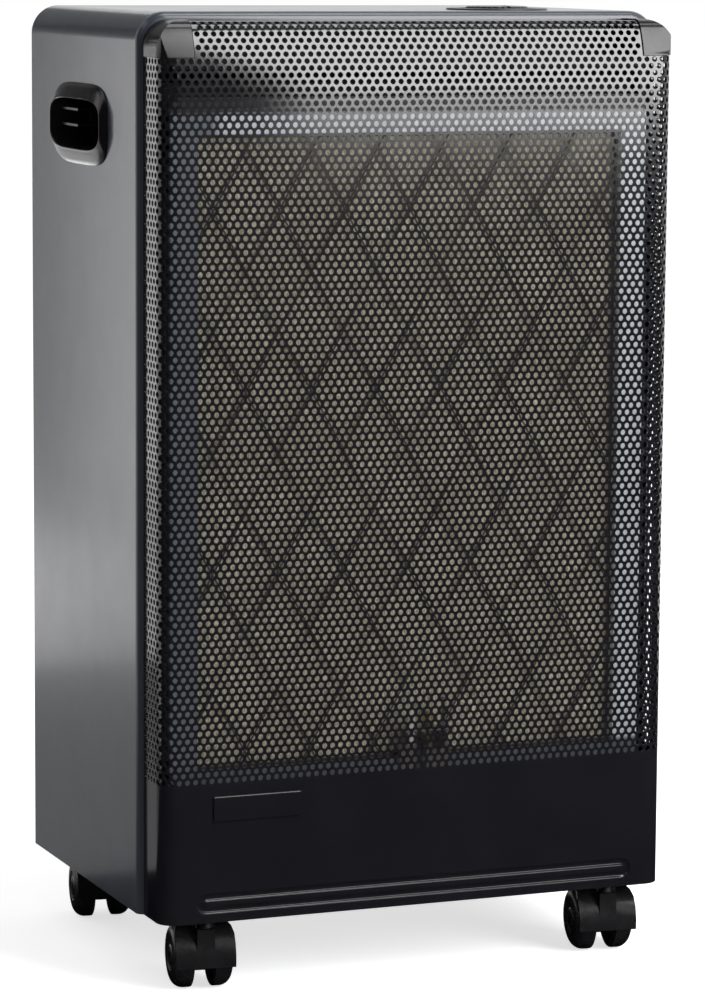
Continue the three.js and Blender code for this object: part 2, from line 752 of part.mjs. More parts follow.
function burnerTray() {
  const half = frameWidth / 2;
  const flange = toSolid(prismY(rectangle(-half, frameBottomZ, half, frameTopZ, frameCornerRadius),
    frameY, frameY + burnerSheet));
  const walls = boxSolid(-burnerHalf - burnerSheet, burnerHalf + burnerSheet, frameY, burnerBackY,
    burnerBottomZ - burnerSheet, burnerTopZ + burnerSheet);
  const room = boxSolid(-burnerHalf, burnerHalf, frameY - 1, burnerBackY - burnerSheet,
    burnerBottomZ, burnerTopZ);
  const inlet = post(supplyPipeDiameter / 2 + seatGap, 0, 0, -10, 10).rotateX(Math.PI / 2);
  inlet.translate(knobX, burnerBackY, injectorHeight);
  return flange.add(walls).subtract(room).subtract(toSolid(inlet));
}

function catalyticPad() {
  const half = burnerHalf - seatGap;
  const front = frameY + padSetback;
  const outline = rectangle(-half, burnerBottomZ + seatGap, half, burnerTopZ - seatGap, padCornerRadius);
  return toSolid(prismY(outline, front, front + padThickness));
}

// A frame of flat bar crossed by two sets of slanting bars.
function diamondGuard() {
  const half = burnerHalf - seatGap;
  const [z0, z1] = [burnerBottomZ + seatGap, burnerTopZ - seatGap];
  const back = frameY + padSetback - seatGap;
  const front = back - guardThickness;
  const sweep = (z1 - z0) / Math.tan(guardAngle);
  const length = (z1 - z0) / Math.sin(guardAngle) + guardBar * 2;
  const count = Math.ceil((half * 2 + sweep) / 2 / guardPitch);
  const border = boxSolid(-half, half, front, back, z0, z1).subtract(
    boxSolid(-half + guardBar, half - guardBar, front - 1, back + 1, z0 + guardBar, z1 - guardBar));
  let bars = null;
  for (const slope of [-1, 1]) {
    for (let i = -count; i <= count; i += 1) {
      const bar = new THREE.BoxGeometry(length, guardThickness, guardBar);
      bar.rotateY(slope * guardAngle).translate(i * guardPitch, (front + back) / 2, (z0 + z1) / 2);
      bars = bars ? bars.add(toSolid(bar)) : toSolid(bar);
    }
  }
  const window = boxSolid(-half + guardBar / 2, half - guardBar / 2, front - 1, back + 1,
    z0 + guardBar / 2, z1 - guardBar / 2);
  return border.add(bars.intersect(window));
}

// ---- Pilot -------------------------------------------------------------------------------------

const pilotBaseZ = frameBottomZ + 1;
const pilotPlateY = frameY - seatGap;

function pilotBracket() {
  const [left, right] = [pilotFromCentre - pilotShelfWidth / 2, pilotFromCentre + pilotShelfWidth / 2];
  const top = pilotBaseZ + pilotRise;
  const plate = boxSolid(left, right, pilotPlateY - pilotSheet, pilotPlateY, pilotBaseZ, top);
  const shelf = boxSolid(left, right, pilotPlateY - pilotShelfDepth, pilotPlateY, top - pilotSheet, top);
  let bracket = plate.add(shelf);
  for (const [along, radius] of [[-pilotPitch, 2.5], [0, 3.5], [pilotPitch, 3]]) {
    const hole = post(radius + seatGap, pilotFromCentre + along, pilotPlateY - pilotAhead, top - 5, top + 5);
    bracket = bracket.subtract(toSolid(hole));
  }
  return bracket;
}

function pilotPiece(along, profile) {
  const piece = turned(profile, 12);
  return toSolid(piece.translate(pilotFromCentre + along, pilotPlateY - pilotAhead, pilotBaseZ + pilotRise));
}

function pilotBurner() {
  return pilotPiece(0, [[0, -pilotBurnerDrop], [3.5, -pilotBurnerDrop], [3.5, seatGap], [5, seatGap], [5, 9],
    [3.8, 11], [3.8, 14], [0, 14]]);
}

function thermocouple() {
  return pilotPiece(pilotPitch, [[0, -14], [3, -14], [3, seatGap], [4.2, seatGap], [4.2, 3], [2, 5], [2, 24],
    [0, 25.5]]);
}

function ignitionElectrode() {
  return pilotPiece(-pilotPitch, [[0, -12], [2.5, -12], [2.5, seatGap], [4, seatGap], [4, 3], [3, 4.5], [3, 15],
    [0.9, 16], [0.9, 27], [0, 27.4]]);
}

// ---- Tap, pipes and knob -----------------------------------------------------------------------

function knobDish() {
  const rim = dishDiameter / 2;
  const well = wellDiameter / 2;
  const bore = spindleDiameter / 2 + runningGap;
  const [seat, top] = [seatGap, seatGap + dishRimThickness];
  const floor = top - wellDepth;
  const profile = [
    [bore, floor], [bore, floor - dishWall], [well, floor - dishWall], [well + dishWall, floor],
    [well + dishWall, seat], [rim, seat], [rim, seat + 0.2], [rim - 1, top], [well + 1.5, top - 0.5],
    [well, top - 1.5], [well, floor + 2], [well - 2, floor], [bore, floor],
  ];
  return toSolid(turned(profile, 20));
}

// A domed knob with shallow flutes, a pointer groove across its top and a socket for the spindle.
function controlKnob() {
  const radius = knobDiameter / 2;
  const top = knobHeight;
  const profile = [[0, 0], [radius - 1, 0], [radius, 1], [radius - 0.6, top - 3.5], [radius - 2.4, top - 1.2],
    [radius * 0.55, top - 0.3], [0, top]];
  let knob = toSolid(turned(profile, 24));
  const fluteRadius = fluteDiameter / 2;
  for (let i = 0; i < knobFlutes; i += 1) {
    const angle = ((i + 0.5) / knobFlutes) * Math.PI * 2;
    const reach = radius + fluteRadius * 0.6;
    const flute = post(fluteRadius, reach * Math.cos(angle), reach * Math.sin(angle), -1, top + 1, 6);
    knob = knob.subtract(toSolid(flute));
  }
  const [mark, start] = [knobMark.width / 2, radius * knobMark.from];
  knob = knob.subtract(boxSolid(-mark, mark, -radius - 1, -start, top - knobMark.depth, top + 1));
  return knob.subtract(toSolid(post(spindleDiameter / 2 + seatGap, 0, 0, -1, top - knobRoof)));
}

function valveSpindle() {
  const tip = knobBottomZ + knobHeight - knobRoof - seatGap;
  return toSolid(post(spindleDiameter / 2, knobX, knobY, valveTopZ - spindleDepth, tip));
}

const valveBlockTopZ = valveTopZ - valveNeckHeight;
const valveBottomZ = valveBlockTopZ - valveHeight;
const outletX = knobX + supplyOutlet.across;
const pilotOutletX = knobX + pilotOutlet.across;

// A cast block under the deck: its neck bears on the dish, and both outlets leave it downwards.
function gasTap() {
  const block = rectangle(knobX - valveWidth / 2, knobY - valveDepth / 2,
    knobX + valveWidth / 2, knobY + valveDepth / 2, 4);
  let tap = toSolid(prismZ(block, valveBottomZ, valveBlockTopZ));
  tap = tap.add(toSolid(post(valveNeckDiameter / 2, knobX, knobY, valveBlockTopZ - 2, valveTopZ, 20)));
  for (const { across, diameter } of [supplyOutlet, pilotOutlet]) {
    const union = post(diameter / 2, knobX + across, knobY, valveBottomZ - outletLength, valveBottomZ + 1, 6);
    tap = tap.add(toSolid(union));
  }
  const bore = post(spindleDiameter / 2 + runningGap, knobX, knobY, valveTopZ - valveBoreDepth, valveTopZ + 1);
  return tap.subtract(toSolid(bore));
}

// Barbed inlet for the low-pressure hose, on the back of the tap.
function hoseNozzle() {
  const [radius, flange] = [nozzleDiameter / 2, nozzleFlange.diameter / 2];
  const profile = [[0, 0], [flange, 0], [flange, nozzleFlange.thickness], [radius, nozzleFlange.thickness + 1]];
  for (let barb = 0; barb < nozzleBarbs.count; barb += 1) {
    const start = nozzleBarbs.from + barb * nozzleBarbs.pitch;
    profile.push([radius, start], [radius + nozzleBarbs.proud, start + 1], [radius - 0.1, start + 5]);
  }
  profile.push([radius - 0.7, hoseNozzleLength], [0, hoseNozzleLength]);
  const nozzle = turned(profile, 8).rotateX(-Math.PI / 2);
  const middle = (valveBlockTopZ + valveBottomZ) / 2;
  return toSolid(nozzle.translate(knobX, knobY + valveDepth / 2 + seatGap, middle));
}

// Spark generator clipped to the side of the tap.
function sparkGenerator() {
  const x = knobX - valveWidth / 2 - seatGap;
  const bottom = valveBottomZ + sparkBlock.rise;
  const deep = sparkBlock.depth / 2;
  const body = rectangle(x - sparkBlock.width, knobY - deep, x, knobY + deep, 3);
  const middle = x - sparkBlock.width / 2;
  const half = sparkBlock.spade / 2;
  const spade = boxSolid(middle - 0.5, middle + 0.5, knobY - half, knobY + half, bottom - 10, bottom + 1);
  return toSolid(prismZ(body, bottom, valveBlockTopZ)).add(spade);
}

// Hexagonal holder on the back of the bulkhead, with its jet through the burner's back wall.
function injector() {
  const seat = bulkheadY + sheetThickness + seatGap;
  const reach = sheetThickness + burnerSheet + seatGap * 3 + jetReach;
  const [thickness, length] = [injectorCollar.thickness, injectorBody.length];
  const jet = new THREE.CylinderGeometry(supplyPipeDiameter / 2, supplyPipeDiameter / 2, reach + 2, shaftSteps);
  const round = injectorCollar.diameter / 2;
  const collar = new THREE.CylinderGeometry(round, round, thickness, 6).translate(0, seat + thickness / 2, 0);
  const narrow = injectorBody.diameter / 2;
  const body = new THREE.CylinderGeometry(narrow, narrow, length - 2, 6).translate(0, seat + length / 2 + 1, 0);
  return toSolid(collar.translate(knobX, 0, injectorHeight))
    .add(toSolid(body.translate(knobX, 0, injectorHeight)))
    .add(toSolid(jet.translate(knobX, seat + 1 - reach / 2, injectorHeight)));
}

// A pipe along points, straight where it meets its unions.
function pipe(diameter, points, steps) {
  const bends = points.map((point) => new THREE.Vector3(...point));
  const path = new THREE.CatmullRomCurve3(bends, false, 'centripetal');
  const section = new THREE.Shape();
  section.absarc(0, 0, diameter / 2, 0, Math.PI * 2, false);
  return toSolid(new THREE.ExtrudeGeometry(section, { steps, curveSegments: 3, extrudePath: path }));
}

function supplyPipe() {
  const start = valveBottomZ - outletLength - seatGap;
  const end = bulkheadY + sheetThickness + seatGap * 2 + injectorBody.length;
  return pipe(supplyPipeDiameter, [
    [outletX, knobY, start],
    ...supplyBends.map(([across, forwards, down]) => [outletX + across, knobY - forwards, start - down]),
    ...supplyEndBends.map(([across, forwards, up]) => [knobX + across, knobY - forwards, injectorHeight + up]),
    [knobX, end + supplyPipeDiameter, injectorHeight], [knobX, end, injectorHeight],
  ], 24);
}

function pilotPipe() {
  const start = valveBottomZ - outletLength - seatGap;
  const pilotY = pilotPlateY - pilotAhead;
  const end = pilotBaseZ + pilotRise - pilotBurnerDrop - seatGap;
  const passZ = frameBottomZ - pilotPassDrop;
  const { beside, above, behind } = pilotLowBends;
  return pipe(pilotPipeDiameter, [
    [pilotOutletX, knobY, start],
    ...pilotBends.map(([across, forwards, down]) => [pilotOutletX + across, knobY - forwards, start - down]),
    [pilotOutletX + beside[0], knobY - beside[1], injectorHeight],
    [pilotOutletX + above[0], knobY - above[1], passZ + above[2]],
    [pilotFromCentre + behind[0], bulkheadY + behind[1], passZ + behind[2]],
    [pilotFromCentre, bulkheadY, passZ],
    [pilotFromCentre, pilotY + pilotPipeDiameter * 2, passZ + pilotPipeDiameter],
    [pilotFromCentre, pilotY, end - pilotPassHeight], [pilotFromCentre, pilotY, end],
  ], 28);
}

// Sloping sheet over the burner that turns its heat away from the deck.
function baffle() {
  const back = bulkheadY - seatGap;
  const low = frameTopZ + baffleRise;
  const high = low + baffleSlope;
  const [rearLip, frontLip] = [low - baffleLips.rear, high - baffleLips.front];
  const front = frameY - 4;
  const fold = outline([
    [back, rearLip], [back, low + sheetThickness], [front, high + sheetThickness], [front, frontLip],
    [front + sheetThickness, frontLip], [front + sheetThickness, high - 0.4],
    [back - sheetThickness, low], [back - sheetThickness, rearLip],
  ]);
  return toSolid(prismX(fold, -frameWidth / 2, frameWidth / 2));
}

// ---- Castors -----------------------------------------------------------------------------------

// In a castor's own frame the stem stands at the origin and the wheels trail towards -Y.
const axleZ = castorWheelDiameter / 2;
const collarTopZ = floorZ - seatGap;
const collarBottomZ = collarTopZ - castorCollarHeight;
const hoodTopZ = collarBottomZ - seatGap;

function castorHood() {
  const hub = castorHubDiameter / 2;
  const neck = castorStemDiameter / 2 + 4; // the web's reach round the stem
  const web = outline([
    [neck, axleZ - 4], [neck, hoodTopZ], [-neck, hoodTopZ], [-neck - 3, hoodTopZ - 6],
    ...arc(-castorTrail, axleZ, hub, Math.PI * 0.6, quarter * 3, 4),
    [2, axleZ - hub + 4],
  ]);
  const inner = castorWheelDiameter / 2 + castorHoodGap;
  const [from, to] = [-0.18, Math.PI * 0.44];
  const canopy = outline([
    ...arc(-castorTrail, axleZ, inner + castorHoodThickness, from, to, 5),
    ...arc(-castorTrail, axleZ, inner, to, from, 5),
  ]);
  const half = castorWebWidth / 2 + castorWheelGap + castorWheelWidth;
  const canopyTop = axleZ + inner + castorHoodThickness;
  const shoulders = rectangle(-half, -castorShoulder, half, canopyTop, castorShoulder);
  const stemBore = post(castorStemDiameter / 2 + swivelPlay, 0, 0, castorStemRise - 4, hoodTopZ + 1);
  const collarRoom = post(castorCollarDiameter / 2 + swivelPlay, 0, 0, hoodTopZ, canopyTop + 1);
  const axleBore = rod(castorAxleDiameter / 2 + axlePlay, -half, half, -castorTrail, axleZ);
  return toSolid(prismX(canopy, -half, half))
    .intersect(toSolid(prismY(shoulders, -castorWheelDiameter, castorWheelDiameter)))
    .add(toSolid(prismX(web, -castorWebWidth / 2, castorWebWidth / 2)))
    .subtract(toSolid(collarRoom))
    .subtract(toSolid(stemBore))
    .subtract(toSolid(axleBore));
}

// The stem with the collar that the heater's weight bears on.
function castorStem() {
  const pin = castorStemDiameter / 2;
  const collar = castorCollarDiameter / 2;
  const [low, high] = [collarBottomZ, collarTopZ];
  const top = castorStemRise + castorStemLength;
  const profile = [[0, castorStemRise], [pin, castorStemRise], [pin, low], [collar, low], [collar, high],
    [pin, high], [pin, top], [0, top]];
  return toSolid(turned(profile, shaftSteps));
}

function castorAxle() {
  const half = castorWebWidth / 2 + castorWheelGap + castorWheelWidth - 2;
  return toSolid(rod(castorAxleDiameter / 2, -half, half, -castorTrail, axleZ, 12));
}

// A wheel with a flat tread beside the web and a domed outer face.
function castorWheel(side) {
  const [radius, width] = [castorWheelDiameter / 2, castorWheelWidth];
  const bore = castorAxleDiameter / 2 + axlePlay;
  const profile = [[bore, 0], [radius - 1, 0], [radius, 1], [radius, width * 0.5], [radius - 2.6, width * 0.82],
    [radius - 9, width], [bore, width], [bore, 0]];
  const wheel = turned(profile, 16).rotateY((side * Math.PI) / 2);
  const start = side * (castorWebWidth / 2 + castorWheelGap);
  return toSolid(wheel.translate(start, -castorTrail, axleZ));
}

// ---- Assembly ----------------------------------------------------------------------------------

const heater = new THREE.Group();
heater.add(
  part('cabinet_shell', cabinetShell(), casingPaint),
  part('front_panel', frontPanel(), frontPaint),
  part('corner_cap_left', cornerCap(-1), blackPlastic),
  part('corner_cap_right', cornerCap(1), blackPlastic),
  part('side_handle_left', sideHandle(-1), blackPlastic),
  part('side_handle_right', sideHandle(1), blackPlastic),
  part('base_tray', baseTray(), casingPaint),
  part('bulkhead', bulkhead(), galvanised),
  part('rear_rail', rearRail(), galvanised),
  part('rear_cover', rearCover(), casingPaint),
  part('heat_baffle', baffle(), galvanised),
  part('burner_tray', burnerTray(), brightSteel),
  part('catalytic_pad', catalyticPad(), fibrePad),
  part('diamond_guard', diamondGuard(), blackWire),
  part('pilot_bracket', pilotBracket(), galvanised),
  part('pilot_burner', pilotBurner(), brass),
  part('thermocouple', thermocouple(), axleSteel),
  part('ignition_electrode', ignitionElectrode(), ceramic),
  part('gas_tap', gasTap(), brass),
  part('hose_nozzle', hoseNozzle(), brass),
  part('spark_generator', sparkGenerator(), blackPlastic),
  part('injector', injector(), brass),
  part('supply_pipe', supplyPipe(), aluminium),
  part('pilot_pipe', pilotPipe(), aluminium),
  part('valve_spindle', valveSpindle(), axleSteel),
);

const dish = part('knob_dish', knobDish(), greyPlastic);
dish.position.set(knobX, knobY, topZ);
const knob = part('control_knob', controlKnob(), blackPlastic);
knob.position.set(knobX, knobY, knobBottomZ);
heater.add(dish, knob);

for (const { name, x, y } of castorPlaces()) {
  const castor = new THREE.Group();
  castor.position.set(x, y, 0);
  castor.rotation.z = castorTurn;
  castor.add(
    part(`castor_${name}_stem`, castorStem(), axleSteel),
    part(`castor_${name}_hood`, castorHood(), blackPlastic),
    part(`castor_${name}_axle`, castorAxle(), axleSteel),
    part(`castor_${name}_wheel_a`, castorWheel(-1), blackPlastic),
    part(`castor_${name}_wheel_b`, castorWheel(1), blackPlastic),
  );
  heater.add(castor);
}

export default heater;
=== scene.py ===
import bpy
import bmesh
import json
from math import asin, atan2, copysign, cos, pi, radians, sin, sqrt
from mathutils import Matrix, Vector, noise


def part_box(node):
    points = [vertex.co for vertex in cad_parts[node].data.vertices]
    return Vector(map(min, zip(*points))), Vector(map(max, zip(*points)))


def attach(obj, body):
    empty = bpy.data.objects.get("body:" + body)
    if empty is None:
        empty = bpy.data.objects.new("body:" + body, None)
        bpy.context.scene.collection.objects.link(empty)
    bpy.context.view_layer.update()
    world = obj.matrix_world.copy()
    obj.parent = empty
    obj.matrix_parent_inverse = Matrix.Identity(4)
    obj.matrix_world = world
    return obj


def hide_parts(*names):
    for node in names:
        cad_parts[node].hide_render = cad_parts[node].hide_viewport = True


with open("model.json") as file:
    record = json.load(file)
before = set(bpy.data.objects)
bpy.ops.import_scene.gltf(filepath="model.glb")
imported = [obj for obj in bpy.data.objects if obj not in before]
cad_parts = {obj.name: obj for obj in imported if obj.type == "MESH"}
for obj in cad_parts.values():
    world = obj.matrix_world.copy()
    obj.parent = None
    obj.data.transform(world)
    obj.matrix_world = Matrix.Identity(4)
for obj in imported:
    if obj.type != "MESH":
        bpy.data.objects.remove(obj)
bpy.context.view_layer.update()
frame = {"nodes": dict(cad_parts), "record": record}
scene = bpy.context.scene
mm = 0.001

bodyOf = {node: body for body, nodes in frame["record"]["behaviour"]["bodies"].items() for node in nodes}
slotOf = {row["node"]: row["material_slot"] for row in frame["record"]["subparts"]}
print("frame loaded:", len(bodyOf), "nodes")


# ---- shader groups: each puts out values, colours or normals only

def newGroup(name, inputs, outputs):
    group = bpy.data.node_groups.new(name, "ShaderNodeTree")
    for socketName, kind, value in inputs:
        socket = group.interface.new_socket(name=socketName, in_out="INPUT", socket_type="NodeSocket" + kind)
        if value is not None:
            socket.default_value = value
    for socketName, kind in outputs:
        group.interface.new_socket(name=socketName, in_out="OUTPUT", socket_type="NodeSocket" + kind)
    return group, group.nodes.new("NodeGroupInput"), group.nodes.new("NodeGroupOutput")


def feed(tree, socket, value):
    # a number or a colour goes into a socket, and another node's output is linked to it
    if isinstance(value, bpy.types.NodeSocket):
        tree.links.new(value, socket)
    elif isinstance(value, tuple):
        socket.default_value = (*value, 1)
    else:
        socket.default_value = value


def multiplied(tree, first, second):
    node = tree.nodes.new("ShaderNodeMath")
    node.operation = "MULTIPLY"
    feed(tree, node.inputs[0], first)
    feed(tree, node.inputs[1], second)
    return node.outputs["Value"]


def ranged(tree, value, start=0, end=1, low=0, high=1):
    # a value that goes from start to end, spread from low to high
    node = tree.nodes.new("ShaderNodeMapRange")
    spread = {"Value": value, "From Min": start, "From Max": end, "To Min": low, "To Max": high}
    for name, given in spread.items():
        feed(tree, node.inputs[name], given)
    return node.outputs["Result"]


def noiseOf(tree, vector, **settings):
    node = tree.nodes.new("ShaderNodeTexNoise")
    for name, value in {"Vector": vector, **settings}.items():
        feed(tree, node.inputs[name], value)
    return node.outputs["Fac"]


def bumpOf(tree, height, distance):
    node = tree.nodes.new("ShaderNodeBump")
    feed(tree, node.inputs["Height"], height)
    feed(tree, node.inputs["Distance"], distance)
    return node.outputs["Normal"]


def mottleGroup():
    # a soft patchy value between Low and High
    group, given, result = newGroup(
        "mottle",
        [("Vector", "Vector", None), ("Scale", "Float", 20), ("Low", "Float", 0), ("High", "Float", 1)],
        [("Value", "Float")])
    patches = noiseOf(group, given.outputs["Vector"], Scale=given.outputs["Scale"], Detail=5, Roughness=0.6)
    spread = ranged(group, patches, 0.3, 0.7, given.outputs["Low"], given.outputs["High"])
    group.links.new(spread, result.inputs["Value"])
    return group


def skinGroup():
    # the fine relief of a coat of paint, a moulding or a rolled sheet
    group, given, result = newGroup(
        "skin",
        [("Vector", "Vector", None), ("Scale", "Float", 800), ("Depth", "Float", 0.00002)],
        [("Normal", "Vector")])
    relief = noiseOf(group, given.outputs["Vector"], Scale=given.outputs["Scale"], Detail=2)
    group.links.new(bumpOf(group, relief, given.outputs["Depth"]), result.inputs["Normal"])
    return group


def dustGroup():
    # thin dust on what faces up
    group, given, result = newGroup(
        "dust",
        [("Vector", "Vector", None), ("Amount", "Float", 0.1)],
        [("Mask", "Float")])
    surface = group.nodes.new("ShaderNodeNewGeometry")
    normal = group.nodes.new("ShaderNodeSeparateXYZ")
    group.links.new(surface.outputs["Normal"], normal.inputs["Vector"])
    up = ranged(group, normal.outputs["Z"], 0.3)
    share = multiplied(group, up, noiseOf(group, given.outputs["Vector"], Scale=60, Detail=6))
    group.links.new(multiplied(group, share, given.outputs["Amount"]), result.inputs["Mask"])
    return group


mottle = mottleGroup()
skin = skinGroup()
dust = dustGroup()


def placeGroup(tree, group, **values):
    node = tree.nodes.new("ShaderNodeGroup")
    node.node_tree = group
    for name, value in values.items():
        node.inputs[name].default_value = value
    return node


# ---- materials

def objectCoordinates(tree, stretch=(1, 1, 1)):
    place = tree.nodes.new("ShaderNodeTexCoord")
    mapping = tree.nodes.new("ShaderNodeMapping")
    mapping.inputs["Scale"].default_value = stretch
    tree.links.new(place.outputs["Object"], mapping.inputs["Vector"])
    return mapping.outputs["Vector"]


def blendColours(tree, factor, first, second):
    mix = tree.nodes.new("ShaderNodeMix")
    mix.data_type = "RGBA"
    for name, value in (("Factor", factor), ("A", first), ("B", second)):
        feed(tree, mix.inputs[name], value)
    return mix.outputs["Result"]


dustColour = (0.35, 0.34, 0.32)


def surfaceFinish(name, look):
    # patches of two close tones, uneven gloss, a fine skin, and a little dust on top
    material = bpy.data.materials.new(name)
    material.use_nodes = True
    tree = material.node_tree
    shader = tree.nodes["Principled BSDF"]
    vector = objectCoordinates(tree, look.get("stretch", (1, 1, 1)))
    low, high = look["roughness"]
    tones = placeGroup(tree, mottle, Scale=look["patch"])
    gloss = placeGroup(tree, mottle, Scale=look["patch"] * 2.3, Low=low, High=high)
    relief = placeGroup(tree, skin, Scale=look["grain"], Depth=look["depth"])
    settled = placeGroup(tree, dust, Amount=look.get("dust", 0.06))
    for node in (tones, gloss, relief, settled):
        tree.links.new(vector, node.inputs["Vector"])
    colour = blendColours(tree, tones.outputs["Value"], look["colour"], look["tone"])
    colour = blendColours(tree, settled.outputs["Mask"], colour, dustColour)
    tree.links.new(colour, shader.inputs["Base Color"])
    tree.links.new(gloss.outputs["Value"], shader.inputs["Roughness"])
    tree.links.new(relief.outputs["Normal"], shader.inputs["Normal"])
    for socket, key, usual in (("Metallic", "metallic", 0), ("Specular IOR Level", "specular", 0.5),
                               ("Coat Weight", "coat", 0), ("Coat Roughness", "coatRoughness", 0.1)):
        shader.inputs[socket].default_value = look.get(key, usual)
    return material


def tinted(tree, factor, colour):
    # blends another colour over the one that the material has so far
    target = tree.nodes["Principled BSDF"].inputs["Base Color"]
    tree.links.new(blendColours(tree, factor, target.links[0].from_socket, colour), target)


def spangledZinc(name, look):
    # galvanised sheet: crystals of slightly different greys, each with its own gloss
    material = surfaceFinish(name, look)
    tree = material.node_tree
    crystals = tree.nodes.new("ShaderNodeTexVoronoi")
    crystals.inputs["Scale"].default_value = look["spangle"]
    tree.links.new(objectCoordinates(tree), crystals.inputs["Vector"])
    grey = tree.nodes.new("ShaderNodeRGBToBW")
    tree.links.new(crystals.outputs["Color"], grey.inputs["Color"])
    tinted(tree, ranged(tree, grey.outputs["Val"], high=0.45), look["crystal"])
    low, high = look["roughness"]
    gloss = ranged(tree, grey.outputs["Val"], low=low, high=high)
    tree.links.new(gloss, tree.nodes["Principled BSDF"].inputs["Roughness"])
    return material


def fibreFelt(name, look):
    # matted ceramic fibre, sooted in patches
    material = surfaceFinish(name, look)
    tree = material.node_tree
    vector = objectCoordinates(tree, (1, 1, 0.35))
    strands = noiseOf(tree, vector, Scale=look["strand"], Detail=8, Distortion=2.5)
    tinted(tree, ranged(tree, strands, 0.4, 0.6, high=0.8), look["darkTint"])
    tree.links.new(bumpOf(tree, strands, look["relief"]), tree.nodes["Principled BSDF"].inputs["Normal"])
    return material


def darkenedPast(material, darkTint, **stretches):
    # blends a darker colour over the material past a stretch along one axis or more: at some uses painted
    # shade, at others a plain darker tint
    tree = material.node_tree
    place = tree.nodes.new("ShaderNodeSeparateXYZ")
    tree.links.new(objectCoordinates(tree), place.inputs["Vector"])
    total = None
    for axis, (start, end) in stretches.items():
        darkening = ranged(tree, place.outputs[axis], start, end)
        total = darkening if total is None else multiplied(tree, total, darkening)
    tinted(tree, total, darkTint)
    return material


finishes = {
    "casing_paint": surfaceFinish("satinCharcoalPaint", {
        "colour": (0.03, 0.034, 0.045), "tone": (0.035, 0.04, 0.052), "patch": 14, "roughness": (0.3, 0.35),
        "grain": 1400, "depth": 0.01 * mm, "dust": 0.02, "specular": 0.3, "coat": 0.5,
        "coatRoughness": 0.14}),
    "front_paint": surfaceFinish("semiGlossBlackEnamel", {
        "colour": (0.0066, 0.0064, 0.0082), "tone": (0.0084, 0.0081, 0.0102), "patch": 18,
        "roughness": (0.09, 0.12), "grain": 1100, "depth": 0.006 * mm, "dust": 0.008, "specular": 0.62}),
    "black_plastic": surfaceFinish("blackMoulding", {
        "colour": (0.006, 0.006, 0.007), "tone": (0.008, 0.008, 0.009), "patch": 30,
        "roughness": (0.18, 0.24), "grain": 1800, "depth": 0.008 * mm, "dust": 0.01, "specular": 0.35}),
    "dish_plastic": surfaceFinish("darkGreyMoulding", {
        "colour": (0.022, 0.022, 0.024), "tone": (0.028, 0.028, 0.03), "patch": 40,
        "roughness": (0.36, 0.44), "grain": 2200, "depth": 0.012 * mm, "dust": 0.05}),
    # galvanised parts in front of y -0.0985 are painted near black above z 0.63 as painted shade, and take a
    # plain warmer, darker grey lower down
    "galvanised": darkenedPast(darkenedPast(spangledZinc("galvanisedSheet", {
        "colour": (0.5, 0.51, 0.52), "tone": (0.42, 0.43, 0.44), "crystal": (0.66, 0.67, 0.68),
        "spangle": 160, "patch": 25, "roughness": (0.36, 0.52), "grain": 500, "depth": 0.01 * mm,
        "metallic": 0.85}),
        (0.32, 0.3, 0.26), Y=(-0.097, -0.0985)), (0.012, 0.011, 0.01), Y=(-0.097, -0.0985), Z=(0.6, 0.63)),
    # reflector: painted shade, bluish grey past x -0.150 on its left side and near black over its flange's
    # top above z 0.6545; a plain darker, bluer tint below z 0.172
    "bright_steel": darkenedPast(darkenedPast(darkenedPast(surfaceFinish("reflectorSheet", {
        "colour": (0.93, 0.96, 1.0), "tone": (0.80, 0.84, 0.90), "patch": 22, "roughness": (0.26, 0.36),
        "grain": 600, "depth": 0.01 * mm, "metallic": 0.1, "stretch": (1, 1, 0.1), "dust": 0.02}),
        (0.22, 0.25, 0.29), X=(-0.150, -0.160)), (0.18, 0.20, 0.23), Z=(0.172, 0.1685)),
        (0.018, 0.018, 0.018), Z=(0.6545, 0.6575)),
    "fibre_pad": fibreFelt("catalystFelt", {
        "colour": (0.88, 0.82, 0.66), "tone": (0.66, 0.61, 0.46), "darkTint": (0.22, 0.19, 0.12), "strand": 420,
        "relief": 0.8 * mm, "patch": 18, "roughness": (0.9, 1), "grain": 400, "depth": 0.3 * mm, "dust": 0}),
    "guard_wire": surfaceFinish("mattStoveEnamel", {
        "colour": (0.06, 0.056, 0.048), "tone": (0.08, 0.073, 0.06), "patch": 60, "roughness": (0.5, 0.62),
        "grain": 1500, "depth": 0.02 * mm}),
    "brass": surfaceFinish("dullBrass", {
        "colour": (0.66, 0.56, 0.34), "tone": (0.52, 0.43, 0.25), "patch": 90, "roughness": (0.28, 0.42),
        "grain": 900, "depth": 0.03 * mm, "metallic": 1}),
    "aluminium": surfaceFinish("drawnAluminium", {
        "colour": (0.70, 0.71, 0.72), "tone": (0.60, 0.61, 0.62), "patch": 60, "roughness": (0.3, 0.4),
        "grain": 700, "depth": 0.01 * mm, "metallic": 1}),
    "axle_steel": surfaceFinish("zincPlatedSteel", {
        "colour": (0.58, 0.59, 0.60), "tone": (0.50, 0.50, 0.49), "patch": 80, "roughness": (0.22, 0.34),
        "grain": 900, "depth": 0.01 * mm, "metallic": 1}),
    "ceramic": surfaceFinish("glazedCeramic", {
        "colour": (0.82, 0.80, 0.74), "tone": (0.76, 0.73, 0.66), "patch": 120, "roughness": (0.12, 0.2),
        "grain": 600, "depth": 0.01 * mm}),
    "castor_plastic": surfaceFinish("blackPolyamide", {
        "colour": (0.006, 0.006, 0.007), "tone": (0.009, 0.009, 0.01), "patch": 70,
        "roughness": (0.24, 0.34), "grain": 1600, "depth": 0.012 * mm, "dust": 0.015, "specular": 0.3}),
}
print("materials made:", len(finishes))


# ---- mesh helpers

